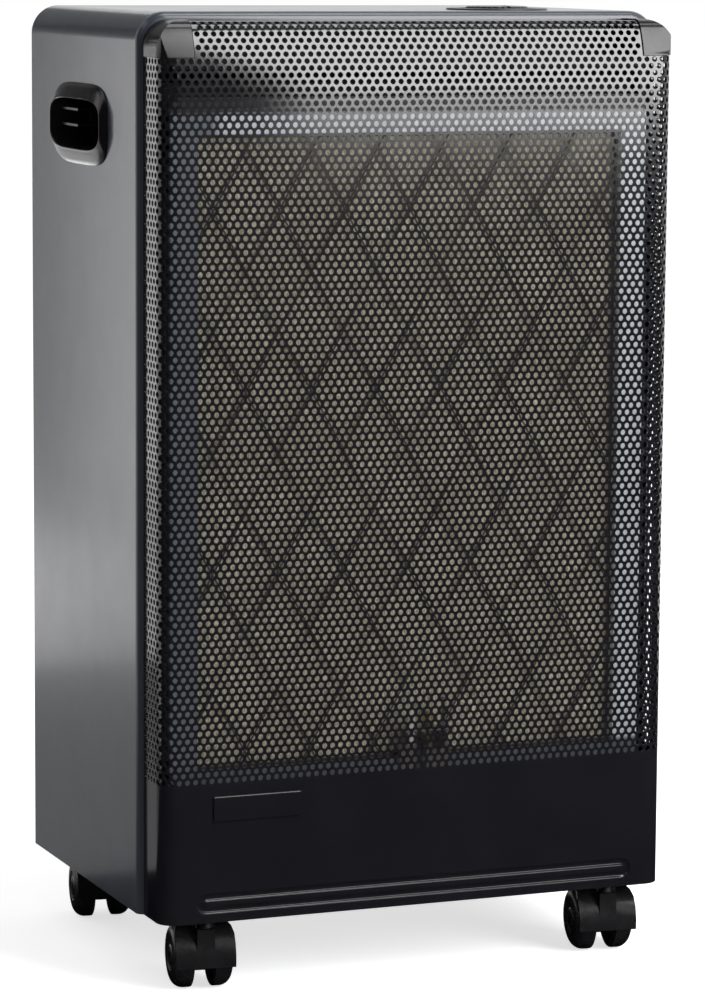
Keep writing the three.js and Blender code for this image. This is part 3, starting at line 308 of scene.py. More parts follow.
def bakedMesh(piece):
    # the mesh with its modifiers applied
    bpy.context.view_layer.update()
    shape = piece.evaluated_get(bpy.context.evaluated_depsgraph_get())
    mesh = bpy.data.meshes.new_from_object(shape)
    old = piece.data
    piece.modifiers.clear()
    piece.data = mesh
    bpy.data.meshes.remove(old)
    return piece


def looseObject(name, bm):
    mesh = bpy.data.meshes.new(name)
    bm.to_mesh(mesh)
    bm.free()
    piece = bpy.data.objects.new(name, mesh)
    scene.collection.objects.link(piece)
    return piece


def bevelled(piece, width, segments=2, angle=35):
    bevel = piece.modifiers.new("edges", "BEVEL")
    bevel.width = width
    bevel.segments = segments
    bevel.limit_method = "ANGLE"
    bevel.angle_limit = radians(angle)
    return bakedMesh(piece)


def thickened(piece, thickness):
    # sheet metal from a surface, grown to the inside
    wall = piece.modifiers.new("sheet", "SOLIDIFY")
    wall.thickness = thickness
    wall.offset = -1
    wall.use_even_offset = True
    return bakedMesh(piece)


def shadeByAngle(piece, angle):
    # smooth where faces meet under the angle, and flat faces stay flat
    for face in piece.data.polygons:
        face.use_smooth = True
    piece.data.set_sharp_from_angle(angle=radians(angle))
    weigh = piece.modifiers.new("flats", "WEIGHTED_NORMAL")
    weigh.keep_sharp = True
    weigh.weight = 80
    return bakedMesh(piece)


def finished(piece, node, sharp=40, stands=True):
    # shaded, painted and riding as its node is, and standing for that node unless another piece does
    shadeByAngle(piece, sharp)
    piece.data.materials.clear()
    piece.data.materials.append(finishes[slotOf[node]])
    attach(piece, bodyOf[node])
    if stands:
        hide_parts(node)


def discard(piece):
    mesh = piece.data
    bpy.data.objects.remove(piece)
    bpy.data.meshes.remove(mesh)


def welded(piece, distance):
    # a mesh to edit, with its doubled points merged
    bm = bmesh.new()
    bm.from_mesh(piece.data)
    bmesh.ops.remove_doubles(bm, verts=bm.verts, dist=distance)
    return bm


def cutBy(piece, cutter, operation="DIFFERENCE"):
    cut = piece.modifiers.new("cut", "BOOLEAN")
    cut.operation = operation
    cut.solver = "EXACT"
    cut.object = cutter
    bakedMesh(piece)
    discard(cutter)
    return piece


def only(kind, items):
    return [item for item in items if isinstance(item, kind)]


def prismOf(name, points, direction):
    # a solid from a closed outline of points, pushed along a direction
    bm = bmesh.new()
    bottom = bmesh.ops.contextual_create(bm, geom=[bm.verts.new(point) for point in points])["faces"]
    pushed = bmesh.ops.extrude_face_region(bm, geom=bottom)["geom"]
    bmesh.ops.translate(bm, verts=only(bmesh.types.BMVert, pushed), vec=direction)
    bmesh.ops.recalc_face_normals(bm, faces=bm.faces)
    return looseObject(name, bm)


def arcPoints(centre, radius, start, end, steps):
    return [(centre[0] + radius * cos(start + (end - start) * i / steps),
             centre[1] + radius * sin(start + (end - start) * i / steps)) for i in range(steps + 1)]


def turnedPiece(name, profile, steps=64, closed=False):
    # spins a profile of (radius, height) about Z
    bm = bmesh.new()
    points = [bm.verts.new((radius, 0, height)) for radius, height in profile]
    ends = list(zip(points, points[1:])) + ([(points[-1], points[0])] if closed else [])
    edges = [bm.edges.new(pair) for pair in ends]
    bmesh.ops.spin(bm, geom=points + edges, axis=(0, 0, 1), cent=(0, 0, 0), angle=2 * pi, steps=steps,
                   use_merge=True)
    bmesh.ops.remove_doubles(bm, verts=bm.verts, dist=0.001 * mm)
    bmesh.ops.recalc_face_normals(bm, faces=bm.faces)
    return looseObject(name, bm)


def placed(piece, matrix):
    piece.data.transform(matrix)
    return piece


def middleOf(node):
    low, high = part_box(node)
    return (low + high) / 2


def overNode(piece, node, height=0):
    # moves a piece that is drawn round Z to its node's middle
    middle = middleOf(node)
    return placed(piece, Matrix.Translation((middle.x, middle.y, height)))


def joined(name, *pieces):
    bm = bmesh.new()
    for piece in pieces:
        bm.from_mesh(piece.data)
        discard(piece)
    return looseObject(name, bm)


def dressed(node, width=0.35 * mm, sharp=35):
    # a node's own shape with its corners softened
    piece = looseObject(node + "_finish", welded(frame["nodes"][node], 0.01 * mm))
    finished(bevelled(piece, width, angle=sharp), node, sharp + 10)


# ---- camera, floor and light

cameraView = {
    "place": (-1.15555, -2.88454, 0.78258), "yaw": 21.9156, "down": 7.9746, "roll": 0.3641, "lens": 144,
}
studio = {
    "worldGlow": 0.45, "floorColour": (0.84, 0.84, 0.84), "floorLift": 0.66,
    "overhead": {"place": (0.6, -0.6, 2.6), "target": (0.2, -0.2, 0.4), "size": (1.1, 0.8), "power": 18},
    "frontRight": {
        "place": (1.15, -2.25, 1.72), "target": (0.1, -0.14, 1.4), "size": (1.2, 2.35), "power": 90},
    "leftBack": {"place": (-1.45, 2.3, 0.85), "target": (-0.2, 0, 0.5), "size": (1.3, 1.7), "power": 5},
    "leftLow": {"place": (-0.26, 1.7, 0.03), "target": (-0.26, 1.7, 1), "size": (0.45, 0.8), "power": 2.6},
}
# dark cards, each a grey level and its corners: in front (up to a slanted wing), close before the foot,
# on the floor and behind that, left, rear, back and above
darkCards = (
    (0, ((-1, -1.35, 0), (2.6, -1.35, 0), (2.6, -1.35, 0.575), (0.36, -1.35, 0.575), (0.325, -1.35, 1.2),
         (0.305, -1.35, 2.2), (-1, -1.35, 2.2))),
    (0, ((-1, -0.45, 0), (2.6, -0.45, 0), (2.6, -0.45, 0.42), (-1, -0.45, 0.42))),
    (0, ((-1, -1.35, 0.001), (2.6, -1.35, 0.001), (2.6, 0.25, 0.001), (-1, 0.25, 0.001))),
    (0.32, ((-1.1, 0.25, 0.001), (1.3, 0.25, 0.001), (1.3, 1.2, 0.001), (-1.1, 1.2, 0.001))),
    (0, ((-1, -1.35, 0), (-1, 0.1, 0), (-1, 0.1, 1.4), (-1, -1.35, 1.4))),
    (0, ((-0.85, 1.95, 0), (-0.85, 3.4, 0), (-0.85, 3.4, 2.4), (-0.85, 1.25, 2.4), (-0.85, 1.25, 0.85),
         (-0.85, 1.95, 0.7))),
    (0.2, ((-2.6, 2.7, 0.85), (0.3, 2.7, 0.85), (0.3, 2.7, 2.8), (-2.6, 2.7, 2.8))),
    (0, ((-1.5, -2.1, 2.95), (1.5, -2.1, 2.95), (1.5, 0.6, 2.95), (-1.5, 0.6, 2.95))),
)


def photoCamera():
    yaw, down, roll = (radians(cameraView[key]) for key in ("yaw", "down", "roll"))
    look = Vector((sin(yaw) * cos(down), cos(yaw) * cos(down), -sin(down)))
    level = Vector((cos(yaw), -sin(yaw), 0))
    up = level.cross(look)
    right = level * cos(roll) + up * sin(roll)
    top = up * cos(roll) - level * sin(roll)
    data = bpy.data.cameras.new("photoCamera")
    data.lens = cameraView["lens"]
    data.sensor_width = 36
    camera = bpy.data.objects.new("photoCamera", data)
    scene.collection.objects.link(camera)
    turn = Matrix((right, top, -look)).transposed().to_4x4()
    camera.matrix_world = Matrix.Translation(cameraView["place"]) @ turn
    scene.camera = camera


def seenWhite(tree):
    # 1 for rays from the camera, from mirrors and through glass
    path = tree.nodes.new("ShaderNodeLightPath")
    total = path.outputs["Is Camera Ray"]
    for name in ("Is Glossy Ray", "Is Transmission Ray"):
        add = tree.nodes.new("ShaderNodeMath")
        add.operation = "ADD"
        add.use_clamp = True
        tree.links.new(total, add.inputs[0])
        tree.links.new(path.outputs[name], add.inputs[1])
        total = add.outputs["Value"]
    return total


def plainShader(piece, name, colour, roughness=0.5):
    # a shader without gloss, on its own material
    material = bpy.data.materials.new(name)
    material.use_nodes = True
    shader = material.node_tree.nodes["Principled BSDF"]
    shader.inputs["Base Color"].default_value = (*colour, 1)
    shader.inputs["Roughness"].default_value = roughness
    shader.inputs["Specular IOR Level"].default_value = 0
    shader.inputs["Emission Color"].default_value = (1, 1, 1, 1)
    piece.data.materials.append(material)
    return material.node_tree, shader


def paleFloor():
    bm = bmesh.new()
    bmesh.ops.create_grid(bm, x_segments=1, y_segments=1, size=30)
    floor = looseObject("paleFloor", bm)
    tree, shader = plainShader(floor, "paleFloor", studio["floorColour"], 0.9)
    tree.links.new(multiplied(tree, seenWhite(tree), studio["floorLift"]), shader.inputs["Emission Strength"])


def paleWorld():
    world = bpy.data.worlds.new("paleWorld")
    world.use_nodes = True
    scene.world = world
    tree = world.node_tree
    sky = tree.nodes["Background"]
    sky.inputs["Color"].default_value = (1, 1, 1, 1)
    tree.links.new(ranged(tree, seenWhite(tree), low=studio["worldGlow"]), sky.inputs["Strength"])


def softLight(name):
    look = studio[name]
    data = bpy.data.lights.new(name, "AREA")
    data.shape = "RECTANGLE"
    data.size, data.size_y = look["size"]
    data.energy = look["power"]
    lamp = bpy.data.objects.new(name, data)
    scene.collection.objects.link(lamp)
    turn = (Vector(look["target"]) - Vector(look["place"])).to_track_quat("-Z", "Y").to_matrix().to_4x4()
    lamp.matrix_world = Matrix.Translation(look["place"]) @ turn
    lamp.visible_camera = False


def darkCard(level, corners):
    # only the heater's gloss shows it
    bm = bmesh.new()
    bm.faces.new([bm.verts.new(corner) for corner in corners])
    card = looseObject("darkCard", bm)
    shader = plainShader(card, "darkCard", (0, 0, 0))[1]
    shader.inputs["Emission Strength"].default_value = level
    card.visible_camera = card.visible_diffuse = card.visible_shadow = card.visible_transmission = False


scene.view_settings.view_transform = "Standard"
photoCamera()
paleFloor()
paleWorld()
for level, corners in darkCards:
    darkCard(level, corners)
for lamp in ("overhead", "frontRight", "leftBack", "leftLow"):
    softLight(lamp)
print("studio set")


# ---- the front sheet, folded from flat stock: u runs round it from the middle, v runs up it

frontSheet = {
    "thickness": 1.2 * mm, "bendRadius": 14 * mm, "topRadius": 10 * mm, "leanRadius": 110 * mm,
    "leanAngle": radians(24), "cellWidth": 6.4 * mm, "cellHeight": 5.15 * mm, "holeDiameter": 4.3 * mm,
    "holeSides": 12, "columns": 75, "cappedColumns": 56, "rowsBelowCaps": 104, "rowsBesideCaps": 6,
    "bandRows": 36, "edgeGap": 0.3 * mm,
    "grooveRise": 7 * mm, "grooveHeight": 15 * mm, "grooveLength": 356 * mm, "grooveWidth": 5.5 * mm,
    "grooveDepth": 1.8 * mm,
}
sheetLow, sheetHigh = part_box("front_panel")
flatHalf = sheetHigh.x - frontSheet["bendRadius"]
bendLength = frontSheet["bendRadius"] * pi / 2
sheetHalf = flatHalf + bendLength + (sheetHigh.y - sheetLow.y - frontSheet["bendRadius"])
leanStart = (sheetHigh.z - frontSheet["topRadius"]
             - (frontSheet["leanRadius"] - frontSheet["topRadius"]) * sin(frontSheet["leanAngle"]))
leanLength = frontSheet["leanRadius"] * frontSheet["leanAngle"]
topBendLength = frontSheet["topRadius"] * (pi / 2 - frontSheet["leanAngle"])
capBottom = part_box("corner_cap_left")[0].z


def aroundSheet(u):
    # how far across the sheet reaches at u, and how far it has turned back from the face
    past = abs(u) - flatHalf
    if past <= 0:
        return u, 0
    angle = min(past, bendLength) / frontSheet["bendRadius"]
    across = flatHalf + frontSheet["bendRadius"] * sin(angle)
    back = frontSheet["bendRadius"] * (1 - cos(angle)) + max(0, past - bendLength)
    return copysign(across, u), back


def upSheet(v):
    # how high the sheet reaches at v, and how far it leans back there
    past = v - leanStart
    if past <= 0:
        return v, 0
    radius, topRadius = frontSheet["leanRadius"], frontSheet["topRadius"]
    angle = min(past, leanLength) / radius
    turn = angle + min(max(0, past - leanLength), topBendLength) / topRadius
    height = leanStart + radius * sin(angle) + topRadius * (sin(turn) - sin(angle))
    back = radius * (1 - cos(angle)) + topRadius * (cos(angle) - cos(turn))
    return height, back + max(0, past - leanLength - topBendLength)


def folded(bm):
    # bends a flat sheet drawn in XZ to the front's form
    for point in bm.verts:
        across, backAround = aroundSheet(point.co.x)
        height, backUp = upSheet(point.co.z)
        back = (backAround ** 3 + backUp ** 3) ** (1 / 3)
        point.co = (across, sheetLow.y + back + point.co.y, height)
    return bm


def frontPiece(name, flat, stands=False):
    # a flat part of the sheet, folded and thickened
    bm = folded(flat)
    bm.normal_update()
    if sum(face.normal.y * face.calc_area() for face in bm.faces) > 0:
        bmesh.ops.reverse_faces(bm, faces=bm.faces)
    finished(thickened(looseObject(name, bm), frontSheet["thickness"]), "front_panel", 50, stands)


def flatGrid(columns, rows, width, height):
    bm = bmesh.new()
    bmesh.ops.create_grid(bm, x_segments=columns, y_segments=rows, size=0.5)
    bmesh.ops.scale(bm, verts=bm.verts, vec=(width, height, 1))
    return bm


def stoodUp(bm):
    # what was drawn in XY faces the front
    bmesh.ops.rotate(bm, verts=bm.verts, cent=(0, 0, 0), matrix=Matrix.Rotation(pi / 2, 3, "X"))
    return bm


def holeCell():
    # one hole in a rectangle whose sides meet its neighbours corner to corner
    bm = flatGrid(2, 2, frontSheet["cellWidth"], frontSheet["cellHeight"])
    middle = [point for point in bm.verts if point.co.length < 0.1 * mm]
    bmesh.ops.delete(bm, geom=middle, context="VERTS")
    bmesh.ops.create_circle(bm, segments=frontSheet["holeSides"], radius=frontSheet["holeDiameter"] / 2)
    bmesh.ops.bridge_loops(bm, edges=bm.edges[:])
    return stoodUp(bm)


def blankCell(width):
    return stoodUp(flatGrid(1, 2, width, frontSheet["cellHeight"]))


def repeated(cell, start, *steps):
    # copies of a cell in rows: each step is a count and an offset
    piece = looseObject("cells", cell)
    for count, offset in steps:
        rows = piece.modifiers.new("rows", "ARRAY")
        rows.use_relative_offset = False
        rows.use_constant_offset = True
        rows.constant_offset_displace = offset
        rows.count = count
    return placed(bakedMesh(piece), Matrix.Translation(start))


def grilleFlat(firstRow, rows, columns, bottom):
    # rows of holes, each shifted half a cell from the last, with blank ends where a row is short
    width, height = frontSheet["cellWidth"], frontSheet["cellHeight"]
    margin = sheetHalf - frontSheet["columns"] * width / 2 if columns == frontSheet["columns"] else 0
    parts = []
    for parity in (0, 1):
        count = (rows - parity + 1) // 2
        short = (firstRow + parity + columns) % 2 == 0
        holes = columns - 1 if short else columns
        z = bottom + height * (parity + 0.5)
        stack = (count, (0, 0, 2 * height))
        parts.append(repeated(holeCell(), (-(holes - 1) * width / 2, 0, z), (holes, (width, 0, 0)), stack))
        for side in (-1, 1):
            if short:
                parts.append(repeated(blankCell(width / 2), (side * (holes + 0.5) * width / 2, 0, z), stack))
            if margin > 0.1 * mm:
                edge = side * (columns * width + margin) / 2
                parts.append(repeated(blankCell(margin), (edge, 0, z), stack))
    whole = joined("grille", *parts)
    bm = welded(whole, 0.05 * mm)
    discard(whole)
    return bm


def stationGrid(across, up):
    # a grid of faces whose lines stand at the given stations
    bm = bmesh.new()
    bmesh.ops.create_grid(bm, x_segments=len(across) - 1, y_segments=len(up) - 1, size=1)
    bm.verts.ensure_lookup_table()
    for i, point in enumerate(bm.verts):
        point.co = (across[i % len(across)], 0, up[i // len(across)])
    return bm


def stations(*stretches):
    # each stretch is (from, to, step)
    places = []
    for start, end, step in stretches:
        count = max(1, round((end - start) / step))
        places += [start + (end - start) * i / count for i in range(count)]
    return places + [stretches[-1][1]]


def grooveDepthAt(u, v):
    # a shallow ring pressed into the plain part
    halfWidth = frontSheet["grooveWidth"] / 2
    middle = sheetLow.z + frontSheet["grooveRise"] + frontSheet["grooveHeight"] / 2
    reachU = frontSheet["grooveLength"] / 2 - frontSheet["grooveHeight"] / 2
    reachV = frontSheet["grooveHeight"] / 2 - halfWidth
    distance = Vector((max(0, abs(u) - reachU), v - middle)).length
    off = abs(distance - reachV) / halfWidth
    rise = min(1, max(0, (1.15 - off) / 0.75))
    return frontSheet["grooveDepth"] * rise * rise * (3 - 2 * rise)


def frontPieces():
    rowHeight, leanRadius = frontSheet["cellHeight"], frontSheet["leanRadius"]
    fullRows, capRows = frontSheet["rowsBelowCaps"], frontSheet["rowsBesideCaps"]
    capAngle = asin((capBottom - frontSheet["edgeGap"] - leanStart) / leanRadius)
    firstRowZ = leanStart + leanRadius * capAngle - fullRows * rowHeight

    # plain lower part with the pressed ring
    grooveTop = sheetLow.z + frontSheet["grooveRise"] + frontSheet["grooveHeight"]
    grooveEnd = frontSheet["grooveLength"] / 2
    side = [(grooveEnd - 14 * mm, grooveEnd + 2 * mm, 0.8 * mm), (grooveEnd + 2 * mm, flatHalf, 6 * mm),
            (flatHalf, flatHalf + bendLength, 1.6 * mm), (flatHalf + bendLength, sheetHalf, 8 * mm)]
    mirrored = [(-end, -start, step) for start, end, step in reversed(side)]
    across = stations(*mirrored, (14 * mm - grooveEnd, grooveEnd - 14 * mm, 12 * mm), *side)
    foot, past = sheetLow.z + 5 * mm, grooveTop + 2 * mm
    up = stations((sheetLow.z, foot, 2.5 * mm), (foot, past, 0.5 * mm), (past, firstRowZ, 9 * mm))
    plain = stationGrid(across, up)
    for point in plain.verts:
        point.co.y = grooveDepthAt(point.co.x, point.co.z)
    frontPiece("front_plain", plain, stands=True)

    # holed part, in bands
    for i, name in enumerate(("front_grille_low", "front_grille_middle", "front_grille_high")):
        first = i * frontSheet["bandRows"]
        rows = min(frontSheet["bandRows"], fullRows - first)
        frontPiece(name, grilleFlat(first, rows, frontSheet["columns"], firstRowZ + first * rowHeight))

    # between the caps, up to the seam with the casing's top
    flat = grilleFlat(fullRows, capRows, frontSheet["cappedColumns"], firstRowZ + fullRows * rowHeight)
    topRow = firstRowZ + (fullRows + capRows) * rowHeight
    seam = leanStart + leanLength + topBendLength + (
        sheetHigh.y - sheetLow.y - upSheet(leanStart + leanLength + topBendLength)[1])
    reach = frontSheet["cappedColumns"] * frontSheet["cellWidth"] / 2
    strip = stationGrid(stations((-reach, reach, frontSheet["cellWidth"] / 2)),
                        stations((topRow, seam - 16 * mm, 1.5 * mm), (seam - 16 * mm, seam, 8 * mm)))
    spare = looseObject("strip", strip)
    flat.from_mesh(spare.data)
    discard(spare)
    bmesh.ops.remove_doubles(flat, verts=flat.verts, dist=0.05 * mm)
    frontPiece("front_grille_top", flat)


frontPieces()
print("front sheet folded")


# ---- corner caps: the front's form drawn 1 mm proud, cut to the corner and hollowed

cornerCap = {"proud": 1 * mm, "wall": 3 * mm, "cornerRadius": 20 * mm, "steps": 14, "edge": 0.9 * mm}


def frontForm(name, inset, behind, below):
    # what three prisms share: the plan with its bends, the side with its lean, the round-cornered front
    steps = cornerCap["steps"]
    half = sheetHigh.x - inset
    face = sheetLow.y + inset
    top = sheetHigh.z - inset
    bend = frontSheet["bendRadius"] - inset
    plan = ([(half, behind), (-half, behind)]
            + arcPoints((-half + bend, face + bend), bend, pi, pi * 1.5, steps)
            + arcPoints((half - bend, face + bend), bend, pi * 1.5, pi * 2, steps))
    form = prismOf(name, [(x, y, below) for x, y in plan], (0, 0, top + 1 * mm - below))

    topRadius, leanRadius = frontSheet["topRadius"], frontSheet["leanRadius"]
    lipY = sheetLow.y + leanRadius - (leanRadius - topRadius) * cos(frontSheet["leanAngle"])
    tangent = pi - frontSheet["leanAngle"]
    side = ([(behind, below), (behind, top)]
            + arcPoints((lipY, sheetHigh.z - topRadius), topRadius - inset, pi / 2, tangent, steps)
            + arcPoints((sheetLow.y + leanRadius, leanStart), leanRadius - inset, tangent, pi, steps)[1:]
            + [(face, below)])
    flank = prismOf("side", [(-half - 1 * mm, y, z) for y, z in side], (2 * half + 2 * mm, 0, 0))
    cutBy(form, flank, "INTERSECT")

    corner = cornerCap["cornerRadius"] - inset
    front = ([(-half, below), (half, below)]
             + arcPoints((half - corner, top - corner), corner, 0, pi / 2, steps)
             + arcPoints((-half + corner, top - corner), corner, pi / 2, pi, steps))
    outline = prismOf("outline", [(x, face - 1 * mm, z) for x, z in front], (0, behind - face + 1 * mm, 0))
    return cutBy(form, outline, "INTERSECT")


def blockBetween(name, low, high):
    bm = bmesh.new()
    bmesh.ops.create_cube(bm, size=1)
    bmesh.ops.scale(bm, verts=bm.verts, vec=Vector(high) - Vector(low))
    bmesh.ops.translate(bm, verts=bm.verts, vec=(Vector(high) + Vector(low)) / 2)
    return looseObject(name, bm)


def cornerCaps():
    for side in ("left", "right"):
        node = "corner_cap_" + side
        low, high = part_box(node)
        reach = 5 * mm
        left, right = (reach, 0) if side == "left" else (0, reach)
        cap = frontForm(node + "_finish", -cornerCap["proud"], high.y, low.z - 10 * mm)
        corner = blockBetween("corner", low - Vector((left, reach, 0)), high + Vector((right, reach, reach)))
        cutBy(cap, corner, "INTERSECT")
        inside = frontForm("inside", cornerCap["wall"] - cornerCap["proud"], high.y + 5 * mm, low.z - 20 * mm)
        cutBy(cap, inside)
        bm = welded(cap, 0.01 * mm)
        bm.to_mesh(cap.data)
        bm.free()
        finished(bevelled(cap, cornerCap["edge"], segments=3, angle=40), node, 50)


cornerCaps()
print("corner caps made")


# ---- casing: one strip of sheet swept up the left side, over the top and down the right

casing = {
    "thickness": 1.2 * mm, "cornerRadius": 22 * mm, "curlRadius": 6 * mm, "frontFlange": 14 * mm,
    "rearCurl": 3 * mm, "rearFlange": 10 * mm, "cornerSteps": 16, "curlSteps": 8,
    "gripGap": 2.8 * mm, "gripSteps": 72, "dishHoleRadius": 30.9 * mm,
}


def barrelPoints(halfLength, halfHeight, steps):
    # a flat-topped outline with bulging ends
    angles = [(i + 0.5) / steps * 2 * pi for i in range(steps)]
    return [(halfLength * copysign(sqrt(abs(cos(angle))), cos(angle)),
             halfHeight * copysign(sqrt(abs(sin(angle))), sin(angle))) for angle in angles]


def casingShell():
    low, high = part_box("cabinet_shell")
    curl, rear = casing["curlRadius"], casing["rearCurl"]
    left, front, back = low.x, low.y, high.y
    strip = ([(left + casing["frontFlange"], front)]
             + arcPoints((left + curl, front + curl), curl, pi * 1.5, pi, casing["curlSteps"])
             + arcPoints((left + rear, back - rear), rear, pi, pi / 2, 4)
             + [(left + casing["rearFlange"], back)])
    bm = bmesh.new()
    points = [bm.verts.new((x, y, low.z)) for x, y in strip]
    edges = [bm.edges.new(pair) for pair in zip(points, points[1:])]
    radius = casing["cornerRadius"]

    def push(moving, vector):
        pushed = bmesh.ops.extrude_edge_only(bm, edges=moving)["geom"]
        bmesh.ops.translate(bm, verts=only(bmesh.types.BMVert, pushed), vec=vector)
        return only(bmesh.types.BMEdge, pushed)

    def turn(moving, centre):
        spun = bmesh.ops.spin(bm, geom=moving, axis=(0, 1, 0), cent=centre, angle=pi / 2,
                              steps=casing["cornerSteps"])["geom_last"]
        return only(bmesh.types.BMEdge, spun)

    edges = push(edges, (0, 0, high.z - radius - low.z))
    edges = turn(edges, (left + radius, 0, high.z - radius))
    edges = push(edges, (high.x - low.x - 2 * radius, 0, 0))
    edges = turn(edges, (high.x - radius, 0, high.z - radius))
    push(edges, (0, 0, low.z - high.z + radius))
    bmesh.ops.remove_doubles(bm, verts=bm.verts, dist=0.01 * mm)
    bmesh.ops.recalc_face_normals(bm, faces=bm.faces)
    wallFace = min(bm.faces, key=lambda face: face.calc_center_median().x - face.calc_area())
    if wallFace.normal.x > 0:
        bmesh.ops.reverse_faces(bm, faces=bm.faces)
    shell = thickened(looseObject("cabinet_shell_finish", bm), casing["thickness"])

    handle = middleOf("side_handle_left")
    gap = casing["gripGap"]
    grip = barrelPoints(sideGrip["cupLength"] / 2 + gap, sideGrip["cupHeight"] / 2 + gap, casing["gripSteps"])
    slot = prismOf("slot", [(low.x - 5 * mm, handle.y + along, handle.z + rise) for along, rise in grip],
                   (high.x - low.x + 10 * mm, 0, 0))
    cutBy(shell, slot)
    hole = casing["dishHoleRadius"]
    drill = turnedPiece("drill", [(0, -5 * mm), (hole, -5 * mm), (hole, 5 * mm), (0, 5 * mm)])
    cutBy(shell, overNode(drill, "knob_dish", high.z))
    finished(bevelled(shell, 0.25 * mm, angle=50), "cabinet_shell", 50)


# ---- side handles: bezel, rim and finger cup in one moulding

sideGrip = {
    "cupLength": 118 * mm, "cupHeight": 37 * mm, "wall": 2 * mm, "gap": 0.3 * mm, "steps": 96,
    "ribStart": 12 * mm, "ribEnd": 51 * mm, "ribDepth": 28 * mm, "ribThickness": 2.4 * mm,
    "ribRises": (10 * mm, -2 * mm),
}


def sideHandle(node):
    low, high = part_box(node)
    sign = copysign(1, low.x)
    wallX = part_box("cabinet_shell")[1].x
    inner, outer = sorted((abs(low.x), abs(high.x)))
    proud, depth = outer - wallX, wallX - inner
    wall, gap = sideGrip["wall"], sideGrip["gap"]
    # rings from the cup's back round the bezel and down into the cup: mm past the cup's or the bezel's length
    # and height, and the distance out of the wall
    cup = sideGrip["cupLength"], sideGrip["cupHeight"]
    bezel = high.y - low.y, high.z - low.z
    rings = [(size[0] + along * mm, size[1] + rise * mm, out) for size, along, rise, out in (
        (cup, -4, -3, -depth), (cup, 3, 3, -depth + 6 * mm), (cup, 4, 4, -1.5 * mm), (cup, 4, 4, gap),
        (bezel, -0.4, -0.4, gap), (bezel, 0, 0, gap + 0.4 * mm), (bezel, -0.6, -1, gap + 1.1 * mm),
        (bezel, -3, -8, gap + 3.2 * mm), (cup, 4.4, 5.2, proud - 0.9 * mm), (cup, 3, 3, proud - 0.15 * mm),
        (cup, 1.6, 1.6, proud), (cup, 0.5, 0.5, proud - 0.5 * mm), (cup, 0, 0, proud - 1.6 * mm),
        (cup, -1, -0.6, -depth + wall + 8 * mm), (cup, -3, -2.4, -depth + wall + 2 * mm),
        (cup, -9, -7, -depth + wall))]
    middle = middleOf(node)
    bm = bmesh.new()
    loops = []
    for ringLength, ringHeight, out in rings:
        outline = barrelPoints(ringLength / 2, ringHeight / 2, sideGrip["steps"])
        loops.append([bm.verts.new((sign * (wallX + out), middle.y + along, middle.z + rise))
                      for along, rise in outline])
    for first, second in zip(loops, loops[1:]):
        for i in range(len(first)):
            bm.faces.new((first[i - 1], first[i], second[i], second[i - 1]))
    for loop in (loops[0], loops[-1]):
        bm.faces.new(loop)
    bmesh.ops.recalc_face_normals(bm, faces=bm.faces)
    moulding = looseObject(node + "_finish", bm)
    ribs = []
    for rise in sideGrip["ribRises"]:
        floorX = wallX - depth + wall / 2
        start, end = sorted((sign * floorX, sign * (floorX + sideGrip["ribDepth"])))
        half = sideGrip["ribThickness"] / 2
        rib = blockBetween("rib", (start, middle.y + sideGrip["ribStart"], middle.z + rise - half),
                           (end, middle.y + sideGrip["ribEnd"], middle.z + rise + half))
        ribs.append(bevelled(rib, 0.5 * mm))
    finished(joined(node + "_finish", moulding, *ribs), node)


casingShell()
sideHandle("side_handle_left")
sideHandle("side_handle_right")
print("casing and handles made")


# ---- knob and its dish

knobLook = {
    "flutes": 24, "fluteDepth": 0.7 * mm, "fluteReach": 0.86, "slotHalf": 1.2 * mm, "slotDepth": 2.2 * mm,
}
dishLook = {"bore": 4.7 * mm, "well": 29 * mm, "wall": 1.6 * mm, "depth": 15 * mm}


def knobDish():
    low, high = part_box("knob_dish")
    rim = (high.x - low.x) / 2
    bore, well = dishLook["bore"], dishLook["well"]
    outside = well + dishLook["wall"]
    top = high.z
    floor = top - dishLook["depth"]
    profile = ([(bore, floor), (bore, low.z), (well, low.z), (outside, floor + 1 * mm),
                (outside, top - 1 * mm), (rim, top - 1 * mm)]
               + arcPoints((rim - 1 * mm, top - 1 * mm), 1 * mm, 0, pi / 2, 5)
               + arcPoints((well + 1.5 * mm, top - 1.5 * mm), 1.5 * mm, pi / 2, pi, 6)
               + arcPoints((well - 2 * mm, floor + 2 * mm), 2 * mm, 0, -pi / 2, 6))
    dish = turnedPiece("knob_dish_finish", profile, steps=96, closed=True)
    finished(overNode(dish, "knob_dish"), "knob_dish")


def controlKnob():
    low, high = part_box("control_knob")
    radius = (high.x - low.x) / 2
    height = high.z - low.z
    profile = ([(0, 0), (radius - 1 * mm, 0), (radius, 1 * mm), (radius - 0.4 * mm, height - 3.4 * mm)]
               + arcPoints((radius - 3.2 * mm, height - 3.4 * mm), 2.8 * mm, 0, pi / 2, 6)[1:]
               + [(radius * 0.5, height - 0.2 * mm), (0, height)])
    knob = turnedPiece("control_knob_finish", profile, steps=192)
    for point in knob.data.vertices:
        reach = Vector((point.co.x, point.co.y)).length
        if reach > radius * knobLook["fluteReach"]:
            wave = 0.5 + 0.5 * cos(knobLook["flutes"] * atan2(point.co.y, point.co.x))
            pull = 1 - knobLook["fluteDepth"] * wave ** 3 / reach
            point.co.x *= pull
            point.co.y *= pull
    half = knobLook["slotHalf"]
    pointer = blockBetween("pointer", (-half, -radius - 1 * mm, height - knobLook["slotDepth"]),
                           (half, -radius * 0.35, height + 1 * mm))
    cutBy(knob, bevelled(pointer, 0.3 * mm))
    finished(overNode(knob, "control_knob", low.z), "control_knob")


knobDish()
controlKnob()
print("knob made")


# ---- burner: felt pad, and the crossed wires before it

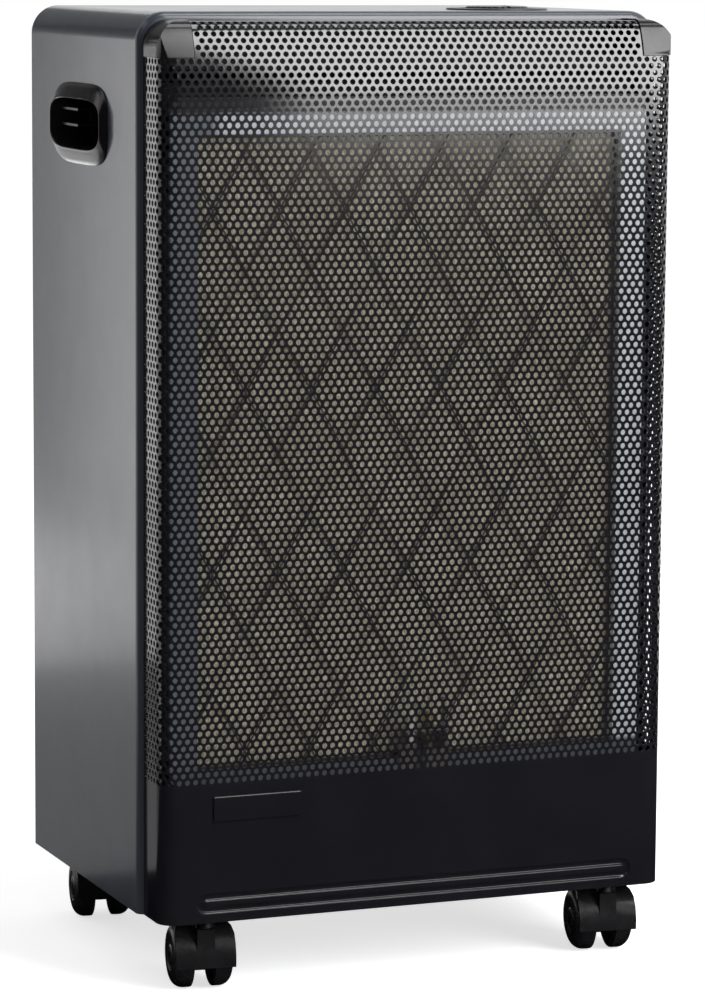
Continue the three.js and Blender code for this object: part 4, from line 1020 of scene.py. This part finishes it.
feltPad = {"step": 3 * mm, "swell": 1.1 * mm, "swellScale": 35, "tuft": 0.5 * mm, "tuftScale": 260,
           "rest": 0.9 * mm, "proudest": 0.8 * mm}


def catalystPad():
    low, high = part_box("catalytic_pad")
    middle = middleOf("catalytic_pad")
    width, height = high.x - low.x, high.z - low.z
    bm = stoodUp(flatGrid(round(width / feltPad["step"]), round(height / feltPad["step"]), width, height))
    border = [edge for edge in bm.edges if edge.is_boundary]
    pushed = bmesh.ops.extrude_edge_only(bm, edges=border)["geom"]
    bmesh.ops.translate(bm, verts=only(bmesh.types.BMVert, pushed), vec=(0, high.y - low.y, 0))
    bmesh.ops.holes_fill(bm, edges=only(bmesh.types.BMEdge, pushed))
    bmesh.ops.translate(bm, verts=bm.verts, vec=(middle.x, low.y, middle.z))
    for point in bm.verts:
        if point.co.y < low.y + 1 * mm:
            swell = noise.fractal(point.co * feltPad["swellScale"], 1, 2, 4) * feltPad["swell"]
            tuft = noise.noise(point.co * feltPad["tuftScale"]) * feltPad["tuft"]
            point.co.y = low.y + feltPad["rest"] + max(-feltPad["proudest"], swell + tuft)
    bmesh.ops.recalc_face_normals(bm, faces=bm.faces)
    finished(looseObject("catalytic_pad_finish", bm), "catalytic_pad", 60)


guardLook = {"pitch": 52 * mm, "angle": radians(60), "wire": 1.5 * mm, "border": 3 * mm, "sides": 8}


def wireBetween(start, end, thickness, sides):
    # a straight round wire
    bm = bmesh.new()
    bmesh.ops.create_cone(bm, cap_ends=True, segments=sides, radius1=thickness / 2, radius2=thickness / 2,
                          depth=(end - start).length)
    turn = (end - start).to_track_quat("Z", "Y").to_matrix().to_4x4()
    return placed(looseObject("wire", bm), Matrix.Translation((start + end) / 2) @ turn)


def diamondGuard():
    low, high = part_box("diamond_guard")
    border = guardLook["border"] / 2
    y = (low.y + high.y) / 2
    left, right, bottom, top = low.x + border, high.x - border, low.z + border, high.z - border
    corners = [Vector((x, y, z)) for x, z in ((left, bottom), (right, bottom), (right, top), (left, top))]
    wires = [wireBetween(corners[i - 1], corners[i], high.y - low.y, 4) for i in range(4)]
    middle = middleOf("diamond_guard")
    slope = cos(guardLook["angle"]) / sin(guardLook["angle"])
    count = int((right - left + (top - bottom) * slope) / 2 / guardLook["pitch"]) + 1
    for lean in (-slope, slope):
        for i in range(-count, count + 1):
            start = middle.x + i * guardLook["pitch"] + lean * (bottom - middle.z)
            ends = [(bottom + (x - start) / lean, x) for x in (left, right)]
            reached = sorted([(z, x) for z, x in ends if bottom < z < top]
                             + [(z, start + lean * (z - bottom)) for z in (bottom, top)
                                if left <= start + lean * (z - bottom) <= right])
            if len(reached) == 2 and reached[1][0] - reached[0][0] > guardLook["wire"]:
                layer = y + copysign(guardLook["wire"] * 0.2, lean)
                first, last = (Vector((x, layer, z)) for z, x in reached)
                wires.append(wireBetween(first, last, guardLook["wire"], guardLook["sides"]))
    finished(joined("diamond_guard_finish", *wires), "diamond_guard", 50)


catalystPad()
diamondGuard()
print("pad and guard made")


# ---- castors, each modelled about its own stem and turned to where its wheels trail

castorLook = {
    "steps": 64, "hubRadius": 7 * mm, "boreRadius": 2.35 * mm, "pinRadius": 5 * mm, "axleRadius": 2 * mm,
}


def castorMatrix(name):
    stem = middleOf(name + "_stem")
    trail = (middleOf(name + "_wheel_a") + middleOf(name + "_wheel_b")) / 2 - stem
    turn = Matrix.Rotation(atan2(trail.x, -trail.y), 4, "Z")
    return Matrix.Translation((stem.x, stem.y, 0)) @ turn, trail.xy.length


def castorWheel(name, letter, matrix, trail, axle):
    node = f"{name}_wheel_{letter}"
    local = matrix.inverted()
    points = [local @ point.co for point in frame["nodes"][node].data.vertices]
    inner, outer = sorted((min(p.x for p in points), max(p.x for p in points)), key=abs)
    side = copysign(1, outer)
    radius = max(p.z for p in points) - axle
    width = abs(outer - inner)
    bore = castorLook["boreRadius"]
    profile = ([(bore, 0), (radius - 5 * mm, 0), (radius - 4.4 * mm, 0.5 * mm), (radius - 1 * mm, 0.5 * mm),
                (radius - 0.2 * mm, 0.9 * mm), (radius, 2 * mm), (radius, width * 0.42)]
               + [(radius - 9 * mm * (1 - cos(angle)), width * 0.42 + width * 0.58 * sin(angle))
                  for angle in (pi / 2 * i / 10 for i in range(1, 11))]
               + [(radius - 13 * mm, width - 0.05 * mm), (radius - 13.6 * mm, width - 0.7 * mm),
                  (castorLook["hubRadius"] + 1 * mm, width - 0.9 * mm),
                  (castorLook["hubRadius"], width - 0.2 * mm), (castorLook["hubRadius"] - 1 * mm, width),
                  (bore, width)])
    wheel = turnedPiece(node + "_finish", profile, steps=castorLook["steps"], closed=True)
    place = Matrix.Translation((inner, -trail, axle)) @ Matrix.Rotation(side * pi / 2, 4, "Y")
    finished(placed(wheel, matrix @ place), node, 35)


def castorStem(name):
    node = name + "_stem"
    low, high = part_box(node)
    collar = (high.x - low.x) / 2
    pin = castorLook["pinRadius"]
    rings = sorted({round(point.co.z, 6) for point in frame["nodes"][node].data.vertices})
    bottom, top = rings[1], rings[-2]
    stem = turnedPiece(node + "_finish", [
        (0, low.z), (pin - 1 * mm, low.z), (pin, low.z + 1 * mm), (pin, bottom), (collar - 0.5 * mm, bottom),
        (collar, bottom + 0.5 * mm), (collar, top - 0.5 * mm), (collar - 0.5 * mm, top), (pin, top),
        (pin, high.z - 9 * mm), (pin - 0.8 * mm, high.z - 8 * mm), (pin - 0.8 * mm, high.z - 5 * mm),
        (pin, high.z - 4 * mm), (pin, high.z - 1 * mm), (pin - 1 * mm, high.z), (0, high.z)], steps=48)
    finished(overNode(stem, node), node, 35)


def castorAxle(name, matrix, trail, axle):
    node = name + "_axle"
    local = matrix.inverted()
    half = max((local @ point.co).x for point in frame["nodes"][node].data.vertices)
    radius = castorLook["axleRadius"]
    profile = [(0, -half), (radius - 0.4 * mm, -half), (radius, -half + 0.4 * mm), (radius, half - 0.4 * mm),
               (radius - 0.4 * mm, half), (0, half)]
    rod = turnedPiece(node + "_finish", profile, steps=32)
    placed(rod, matrix @ Matrix.Translation((0, -trail, axle)) @ Matrix.Rotation(pi / 2, 4, "Y"))
    finished(rod, node, 35)


def castors():
    for name in sorted(node.removesuffix("_stem") for node in bodyOf if node.endswith("_stem")):
        matrix, trail = castorMatrix(name)
        axle = middleOf(name + "_wheel_a").z
        for letter in ("a", "b"):
            castorWheel(name, letter, matrix, trail, axle)
        castorStem(name)
        castorAxle(name, matrix, trail, axle)
        dressed(name + "_hood", width=1.5 * mm, sharp=30)


castors()
print("castors made")


# ---- the rest keeps its shape, with softened corners

for node in ("base_tray", "bulkhead", "rear_rail", "rear_cover", "heat_baffle", "burner_tray",
             "pilot_bracket", "pilot_burner", "thermocouple", "ignition_electrode", "gas_tap", "hose_nozzle",
             "spark_generator", "injector", "supply_pipe", "pilot_pipe", "valve_spindle"):
    dressed(node)
print("inner pieces dressed")


# ---- small bare plate on the plain part

barePlate = {
    "left": -165.6 * mm, "right": -95.8 * mm, "bottom": 133.8 * mm, "top": 152.5 * mm, "proud": 1.6 * mm,
    "edge": 1.3 * mm,
}


def plate():
    face = sheetLow.y
    piece = blockBetween("bare_plate", (barePlate["left"], face - barePlate["proud"], barePlate["bottom"]),
                         (barePlate["right"], face + 0.1 * mm, barePlate["top"]))
    finished(bevelled(piece, barePlate["edge"], segments=4, angle=60), "front_panel", 50, stands=False)


plate()
print("plate fixed")
